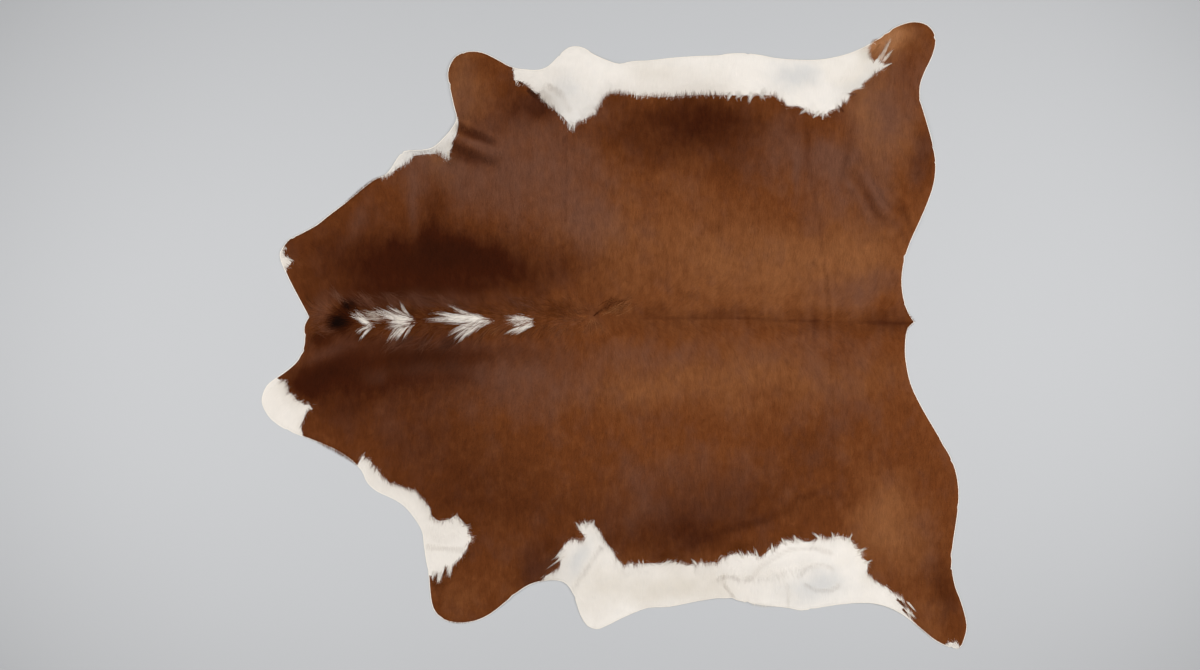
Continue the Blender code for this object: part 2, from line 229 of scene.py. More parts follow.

# Shades of the coat, each a soft oval; they add up. Dark is the coat's own darker hair, and painted
# shade in troughs and folds; mauve in brown hair is painted sheen. In white hair, gold is cream,
# mauve is grey and dark is painted shadow. An amount below 0 takes a shade away. Each group goes
# from right to left.
Tint = namedtuple("Tint", "hue x y reach_x reach_y turn amount")
TINTS = (
    # Dark: neck, shoulders and forelegs
    # These two are painted shade in the troughs of the right armpit
    Tint("dark", -0.425, 0.612, 0.075, 0.016, -24, 0.95),
    Tint("dark", -0.436, 0.548, 0.090, 0.028, -24, 1.00),
    Tint("dark", -0.550, 0.480, 0.100, 0.100, 0, 0.05),
    Tint("dark", -0.560, 0.360, 0.060, 0.110, 0, 0.45),
    Tint("dark", -0.600, 0.225, 0.340, 0.120, 0, 0.88),
    Tint("dark", -0.600, 0.120, 0.260, 0.035, 0, 0.55),
    Tint("dark", -0.802, 0.088, 0.030, 0.020, 25, 1.40),
    Tint("dark", -0.600, 0.045, 0.280, 0.035, 0, 0.30),
    Tint("dark", -0.830, 0.030, 0.042, 0.026, 10, 1.80),
    Tint("dark", -0.895, -0.018, 0.040, 0.022, 0, 0.60),
    Tint("dark", -0.640, -0.035, 0.120, 0.040, 0, 0.28),
    Tint("dark", -0.420, -0.046, 0.220, 0.050, 0, 0.60),
    Tint("dark", -0.700, -0.105, 0.270, 0.090, 0, 0.82),
    Tint("dark", -0.500, -0.120, 0.140, 0.060, 0, 0.45),
    Tint("dark", -0.920, -0.130, 0.090, 0.060, 0, 0.45),
    Tint("dark", -0.830, -0.210, 0.100, 0.110, 0, 0.38),
    Tint("dark", -0.595, -0.290, 0.140, 0.100, 0, 0.35),
    Tint("dark", -0.420, -0.444, 0.240, 0.160, 0, 0.34),
    # Dark: back, belly and elbows
    Tint("dark", -0.262, 0.708, 0.075, 0.080, -50, 1.00),
    Tint("dark", 0.240, 0.662, 0.280, 0.085, 0, 0.76),
    Tint("dark", 0.262, 0.560, 0.240, 0.090, 0, 0.52),
    Tint("dark", -0.330, 0.200, 0.240, 0.100, 0, 0.50),
    Tint("dark", -0.100, 0.140, 0.220, 0.070, 0, 0.08),
    Tint("dark", -0.004, 0.098, 0.050, 0.014, 20, 0.28),
    Tint("dark", -0.150, 0.072, 0.080, 0.020, 0, 0.30),
    Tint("dark", 0.350, 0.064, 0.450, 0.022, 0, 0.22),
    Tint("dark", 0.262, 0.046, 0.300, 0.040, 0, 0.22),
    Tint("dark", 0.262, -0.444, 0.240, 0.080, 0, 0.25),
    Tint("dark", -0.100, -0.530, 0.360, 0.080, 0, 0.28),
    Tint("dark", 0.369, -0.535, 0.300, 0.090, 8, 0.45),
    Tint("dark", 0.200, -0.620, 0.210, 0.070, 0, 0.60),
    Tint("dark", -0.232, -0.705, 0.080, 0.080, 0, 0.74),
    # Dark: loin, hips and hind legs
    Tint("dark", 0.400, 0.640, 0.120, 0.070, 0, 0.18),
    # Painted shade along the old crease across the loin
    Tint("dark", 0.590, 0.560, 0.012, 0.080, 0, 0.40),
    Tint("dark", 0.710, 0.560, 0.012, 0.090, -8, 0.40),
    Tint("dark", 0.935, 0.540, 0.040, 0.090, 0, 0.55),
    # These three are painted shade in the troughs of the right hip
    Tint("dark", 0.770, 0.430, 0.085, 0.018, -58, 0.48),
    Tint("dark", 0.880, 0.385, 0.080, 0.012, -62, 0.35),
    Tint("dark", 0.820, 0.362, 0.050, 0.016, -38, 0.38),
    Tint("dark", 0.615, 0.046, 0.012, 0.045, 0, 0.40),
    Tint("dark", 0.840, 0.045, 0.100, 0.028, 0, 0.55),
    Tint("dark", 0.700, 0.020, 0.200, 0.030, 0, 0.25),
    Tint("dark", 0.600, -0.330, 0.130, 0.080, 0, 0.25),
    # These two are painted shade along the creases of the left flank
    Tint("dark", 0.603, -0.485, 0.060, 0.014, 24, 0.26),
    Tint("dark", 0.415, -0.578, 0.130, 0.016, 17, 0.30),
    Tint("dark", 1.010, -0.780, 0.045, 0.120, 15, 0.60),
    # Gold: neck, shoulders and forelegs
    Tint("gold", -0.472, 0.764, 0.080, 0.120, 0, 0.80),
    Tint("gold", -0.533, 0.535, 0.060, 0.060, 0, 1.00),
    Tint("gold", -0.503, -0.800, 0.100, 0.070, 0, 0.15),
    # Gold: back, belly and elbows
    Tint("gold", 0.100, 0.790, 0.200, 0.050, 0, 0.40),
    Tint("gold", -0.040, 0.330, 0.100, 0.080, 0, 0.35),
    Tint("gold", 0.080, 0.300, 0.300, 0.220, 0, 0.22),
    Tint("gold", 0.231, 0.052, 0.420, 0.040, 0, 0.08),
    Tint("gold", 0.078, -0.200, 0.190, 0.070, 0, 0.38),
    Tint("gold", 0.150, -0.760, 0.300, 0.075, 0, 0.95),
    # Gold: loin, hips and hind legs
    Tint("gold", 0.860, 0.918, 0.050, 0.030, 30, 0.70),
    Tint("gold", 0.864, 0.900, 0.080, 0.060, 30, 0.65),
    Tint("gold", 0.806, 0.880, 0.050, 0.045, 0, 1.30),
    Tint("gold", 0.760, 0.720, 0.070, 0.090, 0, 0.55),
    Tint("gold", 0.797, 0.627, 0.100, 0.160, 0, 0.70),
    Tint("gold", 0.750, 0.290, 0.130, 0.110, 0, 0.30),
    Tint("gold", 0.537, 0.214, 0.420, 0.130, 0, 0.60),
    Tint("gold", 0.445, -0.123, 0.460, 0.085, 0, 0.48),
    Tint("gold", 0.849, -0.597, 0.110, 0.150, 10, 0.75),
    Tint("gold", 0.965, -0.870, 0.070, 0.070, 0, 0.25),
    # Mauve: neck, shoulders and forelegs
    Tint("mauve", -0.457, 0.749, 0.070, 0.090, 0, 0.35),
    # Painted highlight along the ridge between the right armpit's troughs
    Tint("mauve", -0.430, 0.586, 0.060, 0.010, -24, 0.60),
    Tint("mauve", -0.520, 0.515, 0.110, 0.070, 0, 0.70),
    Tint("mauve", -0.620, 0.490, 0.090, 0.050, 20, 0.50),
    Tint("mauve", -0.622, 0.390, 0.018, 0.120, 4, 0.60),
    Tint("mauve", -0.790, 0.330, 0.030, 0.100, -22, 0.60),
    Tint("mauve", -0.600, 0.108, 0.280, 0.028, 0, 0.75),
    Tint("mauve", -0.885, 0.060, 0.050, 0.045, 0, 0.70),
    Tint("mauve", -0.870, 0.012, 0.030, 0.020, 0, 0.50),
    Tint("mauve", -0.564, -0.030, 0.300, 0.034, 0, 0.68),
    Tint("mauve", -0.875, -0.062, 0.090, 0.026, 15, 0.80),
    Tint("mauve", -0.560, -0.105, 0.160, 0.030, 0, 0.50),
    Tint("mauve", -0.740, -0.120, 0.050, 0.035, 20, 0.60),
    Tint("mauve", -0.430, -0.150, 0.160, 0.080, 0, 0.40),
    Tint("mauve", -0.656, -0.291, 0.140, 0.130, 0, 0.30),
    # Mauve: back, belly and elbows
    Tint("mauve", -0.165, 0.745, 0.050, 0.055, -60, 0.45),
    Tint("mauve", -0.265, 0.718, 0.050, 0.050, 0, 0.35),
    Tint("mauve", -0.319, 0.535, 0.180, 0.160, 0, 0.90),
    Tint("mauve", -0.105, 0.458, 0.120, 0.200, 0, 0.75),
    Tint("mauve", -0.380, 0.428, 0.150, 0.060, 0, 0.40),
    Tint("mauve", -0.040, 0.330, 0.100, 0.080, 0, 0.45),
    Tint("mauve", 0.120, -0.060, 0.220, 0.050, 0, 0.45),
    Tint("mauve", -0.212, -0.138, 0.240, 0.110, -8, 0.70),
    Tint("mauve", 0.262, -0.444, 0.240, 0.090, 0, 0.50),
    Tint("mauve", 0.078, -0.505, 0.080, 0.150, 0, 0.40),
    Tint("mauve", 0.240, -0.560, 0.200, 0.050, 0, 0.35),
    # Painted shade beside the left elbow's fold, grey in the white
    Tint("mauve", -0.105, -0.700, 0.035, 0.075, -30, 0.70),
    Tint("mauve", -0.228, -0.705, 0.060, 0.060, 0, 0.65),
    # Mauve: loin, hips and hind legs
    Tint("mauve", 0.940, 0.820, 0.060, 0.070, 0, 0.40),
    Tint("mauve", 0.715, 0.815, 0.070, 0.050, 0, -0.50),
    Tint("mauve", 0.560, 0.790, 0.080, 0.040, 0, 0.75),
    Tint("mauve", 0.843, 0.749, 0.090, 0.080, 0, 0.50),
    Tint("mauve", 0.765, 0.690, 0.090, 0.120, 0, 0.50),
    Tint("mauve", 0.850, 0.640, 0.060, 0.140, 0, 0.40),
    Tint("mauve", 0.522, 0.565, 0.100, 0.090, 0, 0.80),
    Tint("mauve", 0.700, 0.560, 0.120, 0.060, 0, 0.40),
    Tint("mauve", 0.930, 0.530, 0.035, 0.070, 0, 0.60),
    Tint("mauve", 0.665, 0.480, 0.080, 0.110, 0, 0.80),
    Tint("mauve", 0.560, 0.480, 0.012, 0.090, 0, 0.50),
    Tint("mauve", 0.797, 0.458, 0.060, 0.130, 0, 0.50),
    # These two are painted highlights along the ridges of the right hip
    Tint("mauve", 0.740, 0.430, 0.090, 0.016, -58, 0.60),
    Tint("mauve", 0.805, 0.430, 0.090, 0.018, -58, 0.55),
    Tint("mauve", 0.812, 0.168, 0.090, 0.070, 0, 0.50),
    Tint("mauve", 0.720, 0.120, 0.100, 0.050, 0, 0.50),
    Tint("mauve", 0.600, -0.050, 0.250, 0.060, 0, 0.35),
    Tint("mauve", 0.690, -0.199, 0.100, 0.130, 0, 0.40),
    Tint("mauve", 0.960, -0.620, 0.040, 0.100, 0, 0.35),
    Tint("mauve", 0.621, -0.742, 0.062, 0.050, 0, 0.50),
    Tint("mauve", 0.590, -0.770, 0.150, 0.060, 0, 0.30),
)
HUES = ("dark", "gold", "mauve")

# Long locks on top of the coat, each a bundle of hairs from a root to a tip. The bend is how
# far it turns on the way, in degrees; the spreads are those of its roots and of its tips.
Lock = namedtuple("Lock", "kind root tip bend root_spread tip_spread hairs")
LOCKS = (
    # White tuft nearest the neck, and the pale hair behind it
    Lock("tuft", (-0.736, 0.028), (-0.805, 0.056), 10, 0.006, 0.007, 44),
    Lock("tuft", (-0.736, 0.029), (-0.800, 0.066), 4, 0.005, 0.006, 36),
    Lock("tuft", (-0.738, 0.031), (-0.790, 0.075), -4, 0.004, 0.005, 26),
    Lock("tuft", (-0.734, 0.026), (-0.775, 0.044), 10, 0.006, 0.008, 46),
    Lock("tuft", (-0.737, 0.026), (-0.777, -0.017), 45, 0.005, 0.004, 26),
    Lock("tuft", (-0.742, 0.028), (-0.788, 0.004), 40, 0.005, 0.006, 18),
    Lock("pale", (-0.700, 0.060), (-0.770, 0.068), -10, 0.010, 0.012, 60),
    Lock("pale", (-0.690, 0.044), (-0.762, 0.052), 0, 0.009, 0.012, 50),
    # Second white tuft
    Lock("tuft", (-0.603, 0.043), (-0.727, 0.080), -14, 0.006, 0.008, 60),
    Lock("tuft", (-0.604, 0.042), (-0.720, 0.066), -8, 0.006, 0.008, 70),
    Lock("tuft", (-0.602, 0.041), (-0.706, 0.054), -2, 0.006, 0.008, 80),
    Lock("tuft", (-0.604, 0.040), (-0.702, 0.038), 10, 0.006, 0.008, 60),
    Lock("tuft", (-0.610, 0.040), (-0.692, 0.020), 25, 0.006, 0.008, 36),
    Lock("tuft", (-0.612, 0.048), (-0.690, 0.090), -20, 0.006, 0.007, 36),
    Lock("tuft", (-0.618, 0.052), (-0.653, 0.096), -40, 0.006, 0.006, 20),
    Lock("tuft", (-0.620, 0.038), (-0.690, -0.020), 45, 0.006, 0.006, 34),
    Lock("tuft", (-0.618, 0.036), (-0.664, -0.014), 45, 0.006, 0.006, 36),
    Lock("tuft", (-0.608, 0.036), (-0.642, -0.012), 40, 0.005, 0.006, 24),
    # Third white tuft
    Lock("tuft", (-0.368, 0.043), (-0.562, 0.048), 4, 0.005, 0.008, 90),
    Lock("tuft", (-0.370, 0.045), (-0.541, 0.066), -8, 0.006, 0.008, 90),
    Lock("tuft", (-0.374, 0.047), (-0.520, 0.056), 0, 0.006, 0.010, 90),
    Lock("tuft", (-0.366, 0.042), (-0.505, 0.040), 6, 0.006, 0.010, 80),
    Lock("tuft", (-0.372, 0.048), (-0.470, 0.066), -14, 0.006, 0.010, 50),
    Lock("tuft", (-0.420, 0.060), (-0.504, 0.090), -30, 0.006, 0.007, 26),
    Lock("tuft", (-0.405, 0.040), (-0.498, 0.002), 35, 0.007, 0.007, 50),
    Lock("tuft", (-0.402, 0.038), (-0.486, -0.012), 42, 0.006, 0.006, 44),
    Lock("tuft", (-0.396, 0.038), (-0.474, -0.022), 45, 0.006, 0.006, 36),
    Lock("tuft", (-0.384, 0.038), (-0.440, 0.004), 40, 0.006, 0.007, 24),
    # Last white tuft, before the whorl
    Lock("tuft", (-0.244, 0.047), (-0.331, 0.056), 8, 0.005, 0.006, 50),
    Lock("tuft", (-0.246, 0.045), (-0.326, 0.042), 12, 0.005, 0.007, 50),
    Lock("tuft", (-0.244, 0.032), (-0.334, 0.002), 30, 0.005, 0.006, 40),
    Lock("tuft", (-0.241, 0.030), (-0.316, 0.004), 30, 0.005, 0.007, 40),
    Lock("tuft", (-0.241, 0.031), (-0.292, 0.010), 30, 0.005, 0.006, 24),
    Lock("tuft", (-0.243, 0.041), (-0.320, 0.026), 18, 0.005, 0.008, 44),
    Lock("tuft", (-0.242, 0.034), (-0.304, 0.000), 34, 0.005, 0.008, 32),
    Lock("tuft", (-0.250, 0.050), (-0.312, 0.062), -6, 0.005, 0.007, 30),
    # Looser hair of the third and the second
    Lock("tuft", (-0.388, 0.044), (-0.470, 0.014), 25, 0.007, 0.010, 30),
    Lock("tuft", (-0.630, 0.044), (-0.676, 0.008), 35, 0.007, 0.010, 26),
    # Spikes where white and brown meet: both hind legs
    Lock("white", (0.812, 0.842), (0.842, 0.896), -6, 0.007, 0.003, 40),
    Lock("white", (0.820, 0.836), (0.850, 0.868), -4, 0.006, 0.003, 26),
    Lock("brown", (0.872, -0.812), (0.896, -0.842), 0, 0.005, 0.004, 26),
    Lock("brown", (0.880, -0.836), (0.902, -0.860), 0, 0.004, 0.004, 22),
    Lock("brown", (0.862, -0.806), (0.882, -0.824), 0, 0.003, 0.004, 12),
    Lock("white", (0.893, -0.815), (0.918, -0.842), 0, 0.004, 0.003, 12),
    Lock("white", (0.900, -0.846), (0.922, -0.868), 0, 0.003, 0.003, 10),
    # Left belly and stifle
    Lock("white", (0.392, -0.682), (0.382, -0.658), 0, 0.005, 0.003, 22),
    Lock("white", (0.440, -0.684), (0.430, -0.656), 0, 0.005, 0.003, 22),
    Lock("white", (0.482, -0.664), (0.480, -0.636), 0, 0.005, 0.002, 24),
    Lock("white", (0.522, -0.642), (0.510, -0.618), 0, 0.006, 0.004, 22),
    Lock("white", (0.560, -0.636), (0.548, -0.612), 0, 0.006, 0.004, 22),
    Lock("white", (0.632, -0.626), (0.606, -0.604), 10, 0.005, 0.003, 22),
    Lock("white", (0.672, -0.628), (0.664, -0.602), 0, 0.005, 0.003, 20),
    Lock("white", (0.716, -0.632), (0.726, -0.608), 0, 0.005, 0.003, 16),
    Lock("white", (0.744, -0.664), (0.768, -0.650), 0, 0.005, 0.003, 16),
    Lock("white", (0.762, -0.696), (0.788, -0.688), 0, 0.005, 0.003, 16),
    Lock("white", (0.250, -0.704), (0.236, -0.684), 0, 0.006, 0.005, 16),
    Lock("white", (0.150, -0.704), (0.176, -0.686), 0, 0.006, 0.005, 16),
    # Both elbows
    Lock("white", (-0.100, -0.600), (-0.118, -0.572), 0, 0.004, 0.003, 18),
    Lock("white", (-0.084, -0.592), (-0.092, -0.562), 0, 0.005, 0.003, 20),
    Lock("white", (-0.066, -0.592), (-0.062, -0.564), 0, 0.005, 0.003, 16),
    Lock("white", (-0.128, 0.650), (-0.140, 0.624), 0, 0.004, 0.003, 18),
    Lock("white", (-0.122, 0.650), (-0.124, 0.620), 0, 0.004, 0.003, 18),
    # Right belly and hind leg
    Lock("white", (0.356, 0.742), (0.346, 0.716), 0, 0.007, 0.005, 26),
    Lock("white", (0.382, 0.740), (0.376, 0.722), 0, 0.012, 0.010, 30),
    Lock("white", (0.420, 0.742), (0.411, 0.710), 0, 0.008, 0.005, 30),
    Lock("white", (0.455, 0.742), (0.450, 0.722), 0, 0.014, 0.010, 36),
    Lock("white", (0.590, 0.692), (0.566, 0.676), 0, 0.005, 0.003, 20),
    Lock("white", (0.628, 0.684), (0.606, 0.664), 0, 0.005, 0.003, 20),
    Lock("white", (0.640, 0.684), (0.636, 0.656), 0, 0.004, 0.003, 18),
    Lock("brown", (0.700, 0.682), (0.682, 0.702), 0, 0.005, 0.003, 20),
    Lock("brown", (0.738, 0.734), (0.712, 0.738), 0, 0.005, 0.003, 20),
    Lock("white", (0.816, 0.818), (0.848, 0.830), 0, 0.004, 0.002, 16),
    Lock("white", (0.826, 0.862), (0.842, 0.898), -6, 0.003, 0.003, 16),
    Lock("gold foot", (0.812, 0.888), (0.786, 0.850), 0, 0.008, 0.007, 40),
    Lock("gold foot", (0.800, 0.898), (0.774, 0.872), 0, 0.007, 0.006, 34),
    # Left foreleg
    Lock("white", (-0.530, -0.722), (-0.536, -0.756), 0, 0.004, 0.003, 18),
    Lock("white", (-0.552, -0.718), (-0.556, -0.750), 0, 0.004, 0.004, 18),
    Lock("white", (-0.506, -0.704), (-0.500, -0.740), 0, 0.004, 0.003, 18),
    Lock("brown", (-0.548, -0.752), (-0.541, -0.722), 0, 0.004, 0.003, 16),
    Lock("brown", (-0.520, -0.738), (-0.517, -0.702), 0, 0.004, 0.003, 16),
    # Right armpit, right cheek and left hind foot
    Lock("white", (-0.508, 0.560), (-0.506, 0.534), 0, 0.004, 0.003, 16),
    Lock("white", (-1.004, 0.236), (-0.980, 0.226), 0, 0.004, 0.003, 14),
    Lock("white", (1.036, -0.954), (1.034, -0.930), 0, 0.004, 0.003, 14),
    Lock("white", (1.046, -0.956), (1.054, -0.936), 0, 0.003, 0.003, 10),
    # Right elbow, left cheek and left elbow
    Lock("brown", (-0.268, 0.752), (-0.230, 0.722), 0, 0.006, 0.007, 36),
    Lock("brown", (-0.296, 0.776), (-0.272, 0.762), 0, 0.006, 0.006, 20),
    Lock("white", (-0.925, -0.228), (-0.931, -0.216), 0, 0.003, 0.003, 14),
    Lock("white", (-0.150, -0.672), (-0.205, -0.712), 0, 0.004, 0.003, 5),
    Lock("white", (-0.146, -0.650), (-0.196, -0.690), 0, 0.004, 0.003, 5),
    # Gold hair beside the tufts
    Lock("gold", (-0.330, 0.035), (-0.390, -0.012), 30, 0.014, 0.018, 26),
    Lock("gold", (-0.360, 0.035), (-0.430, -0.030), 30, 0.014, 0.018, 26),
    Lock("gold", (-0.700, 0.020), (-0.715, -0.020), 30, 0.010, 0.010, 8),
    # Greyed hair on both sides of the mane
    Lock("grey", (-0.440, 0.070), (-0.560, 0.112), -15, 0.024, 0.022, 80),
    Lock("grey", (-0.540, 0.080), (-0.640, 0.122), -15, 0.024, 0.022, 80),
    Lock("grey", (-0.640, 0.090), (-0.720, 0.124), -20, 0.020, 0.022, 70),
    Lock("grey", (-0.740, 0.085), (-0.800, 0.118), -20, 0.018, 0.018, 50),
    Lock("grey", (-0.250, 0.085), (-0.340, 0.115), -15, 0.020, 0.016, 24),
    Lock("grey", (-0.600, 0.000), (-0.690, -0.050), 20, 0.030, 0.026, 70),
    Lock("grey", (-0.460, 0.000), (-0.550, -0.050), 20, 0.030, 0.026, 60),
    Lock("grey", (-0.870, 0.020), (-0.925, 0.020), 0, 0.030, 0.020, 50),
    # Its palest tips
    Lock("veil", (-0.830, 0.100), (-0.870, 0.142), -10, 0.020, 0.016, 40),
    Lock("veil", (-0.735, 0.088), (-0.778, 0.128), -15, 0.020, 0.014, 60),
    Lock("veil", (-0.660, 0.092), (-0.700, 0.130), -15, 0.024, 0.014, 60),
    Lock("veil", (-0.580, 0.088), (-0.622, 0.126), -15, 0.024, 0.014, 60),
    Lock("veil", (-0.490, 0.084), (-0.540, 0.122), -15, 0.024, 0.014, 50),
    Lock("veil", (-0.560, -0.010), (-0.600, -0.052), 15, 0.026, 0.016, 50),
    Lock("veil", (-0.660, -0.010), (-0.705, -0.050), 15, 0.026, 0.016, 40),
    # Black hair at the neck
    Lock("dark", (-0.806, 0.046), (-0.862, 0.090), -20, 0.012, 0.014, 46),
    Lock("dark", (-0.800, 0.036), (-0.864, 0.034), 10, 0.014, 0.014, 60),
    Lock("dark", (-0.800, 0.054), (-0.826, 0.108), -30, 0.012, 0.010, 40),
    # The whorl
    Lock("olive", (-0.066, 0.056), (-0.030, 0.082), -10, 0.002, 0.003, 5),
    Lock("olive", (-0.030, 0.084), (0.012, 0.106), -15, 0.020, 0.016, 14),
    Lock("olive", (0.000, 0.088), (0.050, 0.110), -15, 0.022, 0.018, 12),
    Lock("gold", (-0.020, 0.070), (0.030, 0.100), 30, 0.020, 0.016, 16),
    Lock("gold", (0.010, 0.078), (0.052, 0.104), -25, 0.020, 0.014, 14),
    Lock("gold", (-0.040, 0.068), (0.020, 0.092), 20, 0.012, 0.016, 8),
    Lock("gold", (-0.010, 0.066), (0.070, 0.096), 20, 0.012, 0.018, 8),
    Lock("gold", (-0.070, 0.048), (-0.093, 0.000), 20, 0.006, 0.008, 5),
    Lock("gold", (-0.068, 0.046), (-0.072, -0.006), 10, 0.006, 0.008, 5),
    Lock("gold", (-0.064, 0.046), (-0.048, -0.002), -10, 0.006, 0.008, 5),
    Lock("gold", (-0.060, 0.048), (-0.022, -0.014), -20, 0.006, 0.008, 5),
)
# What each kind of lock is: white or not, and what it adds to each of HUES
KINDS = {
    "white": (0.02, (-3.0, 0.5, -3.0)),
    "tuft": (0.02, (-3.0, 0.45, -3.0)),
    "brown": (-0.02, (0.3, 0.0, 0.2)),
    "gold foot": (-0.02, (-1.0, 0.5, -1.0)),
    "pale": (0.02, (1.4, 0.4, 1.8)),
    "gold": (-0.02, (-0.25, 0.55, -0.2)),
    "grey": (-0.02, (-0.1, 0.0, 0.9)),
    "veil": (-0.02, (-0.5, 0.3, 1.4)),
    "dark": (-0.02, (1.0, -0.5, -0.5)),
    "olive": (-0.02, (0.45, -0.1, -0.5)),
}

# Stretches of the outline where hair hangs over the cut edge, and by how far
Fringe = namedtuple("Fringe", "place x y reach overhang")
FRINGES = (
    Fringe("left side of the neck", -0.850, -0.345, 0.120, 0.012),
    Fringe("left belly", 0.445, -0.822, 0.070, 0.009),
    Fringe("left elbow", -0.200, -0.760, 0.060, 0.003),
    Fringe("left foreleg", -0.480, -0.880, 0.100, 0.003),
    Fringe("left hind leg", 0.930, -0.870, 0.090, 0.005),
    Fringe("left hind foot", 1.040, -0.945, 0.040, 0.006),
    Fringe("root of the tail", 0.910, 0.038, 0.040, 0.006),
    Fringe("right side of the neck", -0.769, 0.447, 0.110, 0.007),
    Fringe("right belly", 0.560, 0.880, 0.100, 0.003),
)

# The soft square lights, with the setting that holds each one's power
Light = namedtuple("Light", "name place target size power")
LIGHTS = (
    Light("side_light_left", (-2.7, -0.15, 2.5), (-0.3, 0.0, 0.0), 2.0, "side_power"),
    Light("side_light_right", (2.7, 0.15, 2.5), (0.3, 0.0, 0.0), 2.0, "side_power"),
    Light("top_light", (0.15, 0.10, 4.4), (0.0, 0.0, 0.0), 3.0, "top_power"),
)
SKY_COLOUR = (0.96, 0.98, 1.0, 1.0)

# How far the floor reaches to each side and lies below the hide, and where the camera is along X
FLOOR_REACH = 9.0
FLOOR_DROP = 0.0004
VIEW_X = -0.044

# ---------------------------------------------------------------------------------------------
# Settings


def colour_setting(name, description, red, green, blue):
    """A colour, as linear light."""
    return FloatVectorProperty(name=name, description=description, subtype="COLOR", size=4,
                               default=(red, green, blue, 1.0))


def length_setting(name, description, metres):
    """A length, in metres."""
    return FloatProperty(name=name, description=description, default=metres, unit="LENGTH")


class HideSettings(bpy.types.PropertyGroup):
    """Thicknesses and spacings of the hide."""

    skin: length_setting("Skin", "Thickness of the tanned skin", 0.0020)
    under_coat: length_setting("Under coat", "Packed hair below the locks", 0.0016)
    lip: length_setting("Lip", "Bare cut edge that shows round the hair", 0.0018)
    top_grid: length_setting("Top grid", "Cell size of the hair side", 0.0080)
    under_grid: length_setting("Under grid", "Cell size of the suede side", 0.026)


class CoatSettings(bpy.types.PropertyGroup):
    """Sizes of the locks of hair."""

    spacing: length_setting("Spacing", "Distance between the roots of the locks", 0.0043)
    length: length_setting("Length", "Length of a lock on the flanks", 0.026)
    width: length_setting("Width", "Width of a lock at its root", 0.0022)
    rise: length_setting("Rise", "How far a lock's tip stands off its root", 0.0011)
    ragged: length_setting("Ragged", "How far white and brown hair mingle", 0.0035)
    comb_out: length_setting("Comb out", "How far clumps reach past a border", 0.0055)
    mane_hairs: IntProperty(name="Mane hairs", description="Number of hairs in the mane",
                            default=5800)
    mane_length: length_setting("Mane length", "Length of the mane's hair", 0.048)
    mane_width: length_setting("Mane width", "Half the width of the mane", 0.045)
    seed: IntProperty(name="Seed", description="Start of the random numbers", default=7)


class ColourSettings(bpy.types.PropertyGroup):
    """Colours of the hair and the skin."""

    chestnut: colour_setting("Chestnut", "Most of the coat", 0.150, 0.042, 0.0100)
    # Deep brown also carries the painted shade of creases and troughs in brown hair
    deep: colour_setting("Deep brown", "Neck, withers and flank edges", 0.040, 0.0072, 0.0012)
    black: colour_setting("Near black", "Darkest hair of the mane", 0.006, 0.002, 0.001)
    gold: colour_setting("Gold", "Sunlit hair of the back and the rump", 0.270, 0.105, 0.038)
    mauve: colour_setting("Mauve", "Greyed sheen on shoulders and hips", 0.150, 0.062, 0.036)
    straw: colour_setting("Straw", "Palest gold hair of the hind foot", 0.450, 0.205, 0.088)
    white: colour_setting("White", "White hair", 0.84, 0.785, 0.720)
    cream: colour_setting("Cream", "Warmer white hair", 0.69, 0.630, 0.550)
    grey: colour_setting("Grey", "Thin white hair over the skin", 0.59, 0.585, 0.575)
    shadow: colour_setting("Shadow", "White hair parted in a crease", 0.50, 0.440, 0.375)
    leather: colour_setting("Leather", "The cut edge", 0.86, 0.79, 0.69)
    suede: colour_setting("Suede", "The flesh side", 0.52, 0.42, 0.31)


class StageSettings(bpy.types.PropertyGroup):
    """Floor, lights and camera."""

    floor: colour_setting("Floor", "Colour of the floor", 0.53, 0.535, 0.545)
    side_power: FloatProperty(name="Side lights", description="Power of each side light",
                              default=62.0, unit="POWER")
    top_power: FloatProperty(name="Top light", description="Power of the light overhead",
                             default=88.0, unit="POWER")
    sky: FloatProperty(name="Sky", description="Strength of the light all round", default=0.16)
    view_width: length_setting("View width", "Width of floor that is in view", 3.670)
    lens: FloatProperty(name="Lens", description="Focal length in millimetres", default=50.0)


# ---------------------------------------------------------------------------------------------
# Smooth fields over the hide. Places are arrays of rows (x, y).


def smooth(share):
    """0 up to 0, 1 from 1 on, and smooth between."""
    share = np.clip(share, 0.0, 1.0)
    return share * share * (3.0 - 2.0 * share)


def hills(places, size, seed):
    """Smooth random hills between -1 and 1. A size is one number, or one along X and one along Y."""
    lattice = np.random.default_rng(seed).uniform(-1.0, 1.0, (256, 256))
    spot = places / np.asarray(size) + 1000.0
    low = np.floor(spot).astype(int)
    part = smooth(spot - low)
    (i, j), (k, m) = (low % 256).T, ((low + 1) % 256).T
    u, v = part.T
    near = lattice[i, j] * (1.0 - u) + lattice[k, j] * u
    far = lattice[i, m] * (1.0 - u) + lattice[k, m] * u
    return near * (1.0 - v) + far * v


def distance_to(line, places, reach, closed=False):
    """Distance from each place to a line of points, and no more than reach."""
    line = np.asarray(line, float)
    ends = np.roll(line, -1, axis=0) if closed else line[1:]
    found = np.full(len(places), reach)
    for start, end in zip(line, ends):
        low = np.minimum(start, end) - reach
        high = np.maximum(start, end) + reach
        near = np.flatnonzero(((places > low) & (places < high)).all(1))
        along = end - start
        offset = places[near] - start
        share = np.clip(offset @ along / max(along @ along, 1e-12), 0.0, 1.0)
        apart = np.linalg.norm(offset - share[:, None] * along, axis=1)
        found[near] = np.minimum(found[near], apart)
    return found


def inside(line, places):
    """Whether each place is inside a closed line of points."""
    line = np.asarray(line, float)
    x, y = places.T
    within = np.zeros(len(places), bool)
    for (ax, ay), (bx, by) in zip(line, np.roll(line, -1, axis=0)):
        crosses = (ay > y) != (by > y)
        if crosses.any():
            within ^= crosses & (x < ax + (y - ay) * (bx - ax) / (by - ay or 1e-12))
    return within


